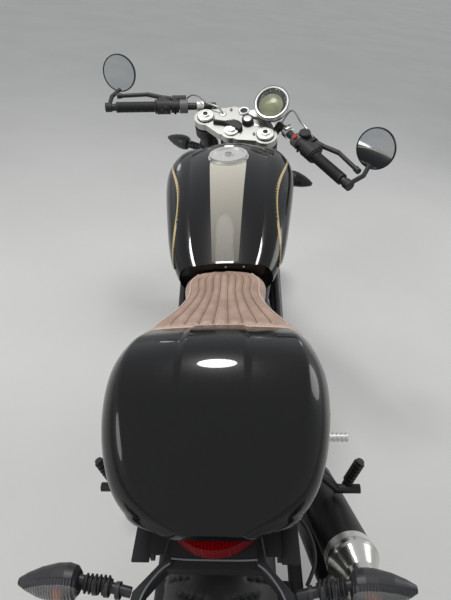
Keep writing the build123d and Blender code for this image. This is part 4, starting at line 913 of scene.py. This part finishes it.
YOKE_FACE, ARCH_HEIGHT, ARCH_RADIUS, ARCH_HALF = 972.1, 13, 28, 3.2
wall_line = [(-66, 8), (-50, 12), (-36, 15), (-29, 16)]
wall_line += [(ARCH_RADIUS * math.cos(math.radians(a)), 7 + ARCH_RADIUS * math.sin(math.radians(a)))
              for a in range(155, -6, -10)]
inner, outer = [], []
for before, at, after in zip(wall_line[:1] + wall_line, wall_line, wall_line[1:] + wall_line[-1:]):
    along = (Vector(after) - Vector(before)).normalized()
    outward = Vector((-along.y, along.x)) * ARCH_HALF
    outer.append(Vector(at) + outward)
    inner.append(Vector(at) - outward)
wall = bmesh.new()
corners = [wall.verts.new((*spot, YOKE_FACE)) for spot in outer + inner[::-1]]
wall_face = bmesh.ops.contextual_create(wall, geom=corners)["faces"]
raised = bmesh.ops.extrude_face_region(wall, geom=wall_face)["geom"]
bmesh.ops.translate(wall, vec=(0, 0, ARCH_HEIGHT),
                    verts=[item for item in raised if isinstance(item, bmesh.types.BMVert)])
piece("stem_arch", wall, ON_FORK, plastic)
turned("yoke_plugs", ON_FORK, satin_alloy,
       [(0, 973.4), (4, 973.4), (4.4, 974.6), (9.6, 974.8), (11.6, 973.6), (11.6, 970)],
       [(60, 58, 0), (-60, 58, 0)], steps=32)
plate = bmesh.new()
bmesh.ops.contextual_create(plate, geom=[plate.verts.new((x, y, 977)) for x, y in (
    (16, 84), (40, 76), (60, 84), (56, 100), (30, 106), (16, 100))])
bmesh.ops.solidify(plate, geom=plate.faces[:], thickness=3.0)
piece("instrument_plate", plate, ON_FORK, satin_alloy)

FORK_TOPS = [(103, 24.1, 0), (-103, 24.1, 0)]
turned("fork_caps", ON_FORK, satin_alloy,
       [(0, 979.5), (9, 979.5), (9, 981.2), (17, 981.2), (17.6, 980.4), (18.4, 980.4), (19, 981.2),
        (24.6, 981.0), (26, 979.6), (26.4, 975.4), (27, 973)], FORK_TOPS)
hexes = bmesh.new()
for spot in FORK_TOPS:
    bmesh.ops.create_cone(hexes, cap_ends=True, segments=6, radius1=8, radius2=8, depth=8,
                          matrix=Matrix.Translation(spot) @ Matrix.Translation((0, 0, 983)))
round_edges(hexes, 0.8)
piece("fork_adjusters", hexes, ON_FORK, dark_bolt)
LOCK_AT = [(-3, 92, 0)]
turned("ignition_ring", ON_FORK, satin_alloy,
       [(11.2, 976.8), (12, 978.4), (16, 978.6), (17.2, 977.2), (17.2, 972.2)], LOCK_AT)
turned("ignition_barrel", ON_FORK, plastic,
       [(0, 972), (1.2, 972), (1.2, 974), (10, 974.4), (10.8, 973.6), (10.8, 960)], LOCK_AT,
       steps=32)
screws("yoke_screws", ON_FORK, [(70, 14, 972.2), (-74, 24, 972.2), (-44, 84, 972.2)],
       (0, 0, 1), 4.5, 4.5, bright_bolt)

# %% [markdown]
# **Handlebars.** The grips have moulded ribs; a lathe profile with a step for each
# rib makes them. On the right are the red stop switch and the brake's master
# cylinder with its fluid cup, on the left the clutch side's switches. The hose and
# the cable run in short bows to the yoke.

# %% Grips and controls
BAR_START, BAR_END = Vector((112, 104, 952)), Vector((391, -74, 989))
BAR_WAY = (BAR_END - BAR_START).normalized()
BAR_LENGTH = (BAR_END - BAR_START).length


def bar_frame(side, distance):
    """A place on a handlebar: X forward, Y up, Z outward along the bar."""
    out = Vector((side * BAR_WAY.x, BAR_WAY.y, BAR_WAY.z))
    ahead = Vector((0, 0, 1)).cross(out) * side
    ahead.normalize()
    point = BAR_START + BAR_WAY * distance
    turn = Matrix((ahead, out.cross(ahead), out)).transposed().to_4x4()
    return Matrix.Translation((side * point.x, point.y, point.z)) @ turn


def round_bar(side, distance, angle):
    """A place on a handlebar whose Z points away from the bar at an angle."""
    return (bar_frame(side, distance) @ Matrix.Rotation(math.radians(angle), 4, "Z")
            @ Matrix.Rotation(math.pi / 2, 4, "Y"))


grips = bmesh.new()
rib_line = [(11.2, 0), (21, 0.5), (21.5, 3), (20.5, 5), (16, 6)]
rib_line += [(radius, 8 + 4.0 * number + shift) for number in range(29)
             for radius, shift in ((15.3, 0), (15.3, 1.2), (16.5, 1.8), (16.5, 3.4))]
rib_line += [(16.5, 126), (15.5, 128), (11.2, 128)]
for name, side in SIDES:
    lathe(grips, rib_line, bar_frame(side, BAR_LENGTH - 142), steps=32)
piece("ribbed_grips", grips, ON_FORK, soft_rubber, stands_for=["grips"])

red_button = material("red_button", "#b3202a", 0.35, patches=("#a81c26", "#bd2a33", 8.0),
                      Coat_Weight=0.4)
stop = bmesh.new()
lathe(stop, [(0, 29), (6, 29), (7, 28), (7, 19), (0, 19)], round_bar(1, 106, 118), steps=24)
piece("stop_button", stop, ON_FORK, red_button)
switch_grey = material("switch_grey", "#5c5d5a", 0.5, grained=(0.8, 0.02, None))
housings = bmesh.new()
collars = bmesh.new()
for name, side in SIDES:
    lathe(housings, [(11.3, 0), (19.5, 0), (21, 1.6), (21, 25), (19.5, 26.6), (11.3, 26.6)],
          bar_frame(side, 91))
    lathe(collars, [(11.3, 0), (16, 0), (17, 1), (17, 21), (16, 22), (11.3, 22)],
          bar_frame(side, 40))
    middle = bar_frame(side, 51)
    clamp = block(collars, (22, 14, 18), middle @ Matrix.Translation((0, 15, 0)))
    round_edges(collars, 2.0, edges_of(clamp))
    screws(f"collar_screws_{name}", ("steering", FORK @ middle), [(6, 22, 0), (-6, 22, 0)],
           (0, 1, 0), 3.6, 3.6, bright_bolt)
piece("switch_housings", housings, ON_FORK, switch_grey)
piece("bar_collars", collars, ON_FORK, satin_alloy)
tube_mesh("brake_hose", [(244, 62, 972), (226, 76, 982), (206, 88, 986), (180, 106, 986),
                         (150, 142, 982), (124, 166, 968), (106, 150, 930), (98, 100, 900),
                         (92, 70, 880)], 3.0, ON_FORK, steel)
tube_mesh("clutch_cable", [(-209, 88, 963), (-198, 92, 978), (-160, 84, 990), (-124, 66, 988),
                           (-92, 64, 990), (-70, 62, 984), (-60, 58, 974)],
          2.6, ON_FORK, steel)
turned("brake_fluid_cup", ON_FORK, plastic,
       [(0, 0), (14, 0), (15, 2), (15, 26), (17, 27), (17, 33), (15, 35), (0, 35)],
       [(214, 62, 958)], steps=36)
buttons = bmesh.new()
for distance, angle, radius in ((-172, 175, 5.5), (-160, 190, 4.5), (-172, 215, 4.0)):
    lathe(buttons, [(0, 26), (radius - 1, 26), (radius, 25), (radius, 20), (0, 20)],
          round_bar(-1, BAR_LENGTH + distance, angle), steps=20)
piece("left_buttons", buttons, ON_FORK, pod_grey)
for name, side in SIDES:
    screws(f"perch_screws_{name}", ("steering", FORK @ bar_frame(side, BAR_LENGTH - 201)),
           [(-18, 9, 0), (-18, -9, 0)], (-1, 0, 0), 4, 4, dark_bolt)
rims = bmesh.new()
for name, side in SIDES:
    lathe(rims, [(52.6, 4.0), (54, 5.0), (55.6, 4.6), (56.3, 3.0), (56.0, 0)],
          pointing(Vector((side * 429, 41, 1026)), (side * -0.22, -0.86, 0.46)), steps=64)
piece("mirror_rims", rims, ON_FORK, dark_bolt)

# %% [markdown]
# **Filler.** The ring round the lid is held by four screws, and a small cover with
# two dots turns aside for the key.

# %% Filler details


def circle_points(centre, radius, angles):
    """Points round a circle at angles in degrees."""
    return [(centre[0] + radius * math.cos(math.radians(angle)),
             centre[1] + radius * math.sin(math.radians(angle))) for angle in angles]


ON_LID = ("filler_cap", UPRIGHT)
screws("filler_screws", ON_CHASSIS,
       [(*spot, 915.6) for spot in circle_points((0, 931), 51.5, (30, 150, 210, 330))],
       (0, 0, 1), 1.9, 1.4, dark_bolt)
turned("key_cover", ON_LID, bright_bolt,
       [(0, 925.6), (8.4, 925.6), (9.4, 924.8), (9.6, 922)], [(0, 931, 0)], steps=32)
turned("key_cover_dots", ON_LID, dark_bolt,
       [(0, 926.2), (1.3, 926.2), (1.4, 925.4)], [(-3.6, 931, 0), (3.6, 931, 0)], steps=16)

# %% [markdown]
# **Lamps.** Behind the headlight's glass sits a pressed reflector with its bulb. The
# turn lamps have amber bulbs in clear lenses, and ribbed rubber boots on their
# stalks.

# %% Headlight inside
in_lamp = ("steering", TURNED @ pointing(STEM @ Vector((0, 122, 834)), (0, 1, 0)))
reflector_silver = material("vacuum_aluminium", "#d6d8da", 0.08, 1.0,
                            patches=("#d0d2d4", "#dcdee0", 50.0))
turned("headlight_reflector", in_lamp, reflector_silver,
       [(10, -16), (22, -12), (42, 4), (60, 22), (72, 31), (77.4, 31.6)], steps=64)
turned("headlight_bulb", in_lamp, reflector_silver,
       [(0, 22), (6, 20), (8, 14), (8, -4), (11, -6), (11, -20), (0, -20)], steps=24)
turned("headlight_ring", in_lamp, satin_alloy,
       [(77.8, 45.6), (79, 47.6), (84, 47.8), (86.6, 45), (86.8, 34), (86.2, 31)], steps=72)

# %% Turn lamps
boot_line = [(8, 0)] + [(radius, 3 + 6 * number + shift) for number in range(6)
                        for radius, shift in ((9, 0), (12.5, 1.5), (12.5, 3.5), (9, 5))]
boot_line.append((8, 40))
# Each pair: its lamps' places, which way they face, how far below them their stalks
# start and how steeply the stalks rise.
for name, home, spots, facing, drop, rise in (
        ("rear", ON_CHASSIS, [(182, -20, 702), (-182, -20, 702)], -1, 9, 0.2),
        ("front", STEERED, [(184, 1242, 784), (-184, 1242, 784)], 1, 0, 0)):
    bulbs = bmesh.new()
    boots = bmesh.new()
    for x, y, z in spots:
        side = math.copysign(1, x)
        lathe(bulbs, [(0, 12), (4, 11), (6, 7), (6, 0), (4, -4), (0, -4)],
              pointing((x + side * 26, y + facing * 8, z), (0, facing, 0)), steps=20)
        lathe(boots, boot_line, pointing((x - side * 44, y, z - drop), (side, 0, rise)), steps=24)
    piece(f"turn_bulbs_{name}", bulbs, home, amber)
    piece(f"turn_boots_{name}", boots, home, soft_rubber)

# %% [markdown]
# ** Tail.** Rubber flaps widen the tray under the cowl, pale tubes along the bracket's
# edges over the tyre are a painted highlight of its lit edges, and the right turn
# lamp's lead hangs in a bow.

# %% Tail trim
flaps = bmesh.new()
for name, side in SIDES:
    block(flaps, (26, 184, 4), Matrix.Translation((side * 106.5, 104, 690)))
round_edges(flaps, 1.5)
piece("tray_flaps", flaps, ON_CHASSIS, soft_rubber)
# Painted highlight: a pale grey for the lit edges of the bracket over the tyre.
edge_highlight_grey = material("painted_edge_highlight", "#7b7e82", 0.5, grained=(1.0, 0.02))


def bracket_highlight(name, places):
    """A painted highlight: a pale tube along the bracket's edge below places of the drawing."""
    line = [dropped(nodes["rear_fender"], x, y) for x, y in places]
    tube_mesh(f"bracket_edge_{name}", [spot for spot in line if spot], 1.4, ON_CHASSIS,
              edge_highlight_grey)


for name, side in SIDES:
    bracket_highlight(name, [(side * x, y) for x, y in ((61, 6), (70, 1), (82, -12), (95, -30),
                                                   (100, -50), (104, -72))])
bracket_highlight("top", [(x, 12.4) for x in range(-60, 61, 20)])
tube_mesh("turn_lamp_lead", [(112, 92, 700), (119, 80, 694), (133, 64, 690), (141, 40, 688),
                             (141, 18, 688), (134, 0, 690), (126, -14, 690)],
          2.6, ON_CHASSIS, soft_rubber)

# %% [markdown]
# **Engine and running gear screws.** Covers are held by cap screws round their
# edges. Discs and the sprocket have their own.

# %% Screws
for name, home, centre, ring, count, x, size, finish in (
        ("clutch", ON_CHASSIS, (668, 372), 82, 10, 133.2, (5, 5), bright_bolt),
        ("alternator", ON_CHASSIS, (790, 390), 72, 9, -139.2, (5, 5), bright_bolt),
        ("rear_disc", ON_REAR_WHEEL, REAR_AXLE.yz, 35, 6, 106.4, (5, 4), dark_bolt),
        ("sprocket", ON_REAR_WHEEL, REAR_AXLE.yz, 45, 6, -108.0, (6, 5), bright_bolt),
        ("front_disc", ON_FRONT_WHEEL, FRONT_AXLE.yz, 35, 6, -68.4, (5, 4), dark_bolt)):
    spots = circle_points(centre, ring, [360 * number / count for number in range(count)])
    screws(f"{name}_screws", home, [(x, *spot) for spot in spots],
           (math.copysign(1, x), 0, 0), *size, finish)
for name, side in SIDES:
    nut = bmesh.new()
    bmesh.ops.create_cone(nut, cap_ends=True, segments=6, radius1=17, radius2=16, depth=9,
                          matrix=pointing((side * 156.2, 0, 315), (side, 0, 0)))
    round_edges(nut, 1.2)
    piece(f"axle_nut_{name}", nut, ON_CHASSIS, bright_bolt)
    screws(f"pivot_screw_{name}", ON_CHASSIS, [(side * 140, 500, 385)], (side, 0, 0),
           11, 6, bright_bolt)

# %% [markdown]
# ** Silencers.** Behind each turned cap a shallow cup closes the bore; it is painted
# near-black, as painted shade of the deep pipe. A bright band holds the cap, and a
# clamp joins the silencer to its pipe.

# %% Silencer details
# Painted shade: a near-black cup stands for the dark depth of the pipe.
bore_painted_shade = material("bore_painted_shade", "#0a0a0a", 0.9, grained=(2.0, 0.05))
for name, end in (("upper", Vector((232, 113, 467))), ("lower", Vector((232, 93, 359)))):
    at_end = ("chassis", UPRIGHT @ pointing(end, silencer_way))
    turned(f"silencer_bore_{name}", at_end, bore_painted_shade, [(0, 8), (21.5, 8), (21.8, 44)])
    turned(f"silencer_band_{name}", at_end, satin_alloy,
           [(45.8, -18), (47.4, -17), (47.4, -3), (45.8, -2)], steps=64)
    turned(f"silencer_clamp_{name}", at_end, bright_bolt,
           [(24.2, -292), (27, -291), (27, -273), (24.2, -272)])

# %% [markdown]
# **Studio.** A pale floor, a soft overhead light and two soft side lights show the
# object plainly. The world is pale to the camera, in reflections and through glass,
# and weaker as a light, so that a colour looks as it is written.

# %% Floor and light
floor_shape = bmesh.new()
bmesh.ops.create_grid(floor_shape, x_segments=1, y_segments=1, size=60.0)
floor_mesh = bpy.data.meshes.new("floor")
floor_shape.to_mesh(floor_mesh)
floor_shape.free()
floor_paint = material("pale_floor", "#e4e4e0", 0.75, patches=("#e2e2de", "#e7e7e3", 900.0))
floor_mesh.materials.append(floor_paint)
placed("floor", floor_mesh)

world = bpy.data.worlds.new("studio")
bpy.context.scene.world = world
world.use_nodes = True
sky = world.node_tree.nodes["Background"]
rays = add(world, "LightPath").outputs
seen = add(world, "Math", rays["Is Camera Ray"], rays["Is Glossy Ray"], operation="MAXIMUM")
seen = add(world, "Math", seen, rays["Is Transmission Ray"], operation="MAXIMUM")
strength = add(world, "MapRange", seen, To_Min=0.7, To_Max=1.0)
world.node_tree.links.new(strength.outputs[0], sky.inputs["Strength"])
sky.inputs["Color"].default_value = hex_colour("#c9cbce")


def soft_light(name, spot, size, power):
    """A round lamp that faces the machine."""
    light = bpy.data.lights.new(name, "AREA")
    light.shape = "DISK"
    light.size, light.energy = size, power
    made = placed(name, light)
    made.location = spot
    way = Vector((0, 0, 0.5)) - Vector(spot)
    made.rotation_euler = way.to_track_quat("-Z", "Y").to_euler()


soft_light("overhead", (-0.46, 0.53, 2.65), 0.45, 22)
soft_light("left_side", (-3.2, -1.6, 2.0), 1.6, 28)
soft_light("right_side", (3.0, 1.2, 1.8), 1.6, 21)

# %% [markdown]
# **Camera.** It stands where the photographer stood: behind and above the seat,
# looking down along the machine, with the phone tilted a little.

# %% Camera
yaw, pitch, roll = math.radians(3.3), math.radians(-38.53), math.radians(8.81)
forward = Vector((math.sin(yaw) * math.cos(pitch), math.cos(yaw) * math.cos(pitch),
                  math.sin(pitch)))
level = Vector((math.cos(yaw), -math.sin(yaw), 0))
upward = level.cross(forward)
right = level * math.cos(roll) + upward * math.sin(roll)
top = upward * math.cos(roll) - level * math.sin(roll)
lens = bpy.data.cameras.new("camera")
lens.lens, lens.sensor_width = 28.0, 36.0
camera = placed("camera", lens)
camera.matrix_world = Matrix((right, top, -forward)).transposed().to_4x4()
camera.location = (-0.1778 + SHIFT.x, -0.2684 + SHIFT.y, 1.377)
bpy.context.scene.camera = camera
bpy.context.scene.view_settings.view_transform = "Standard"
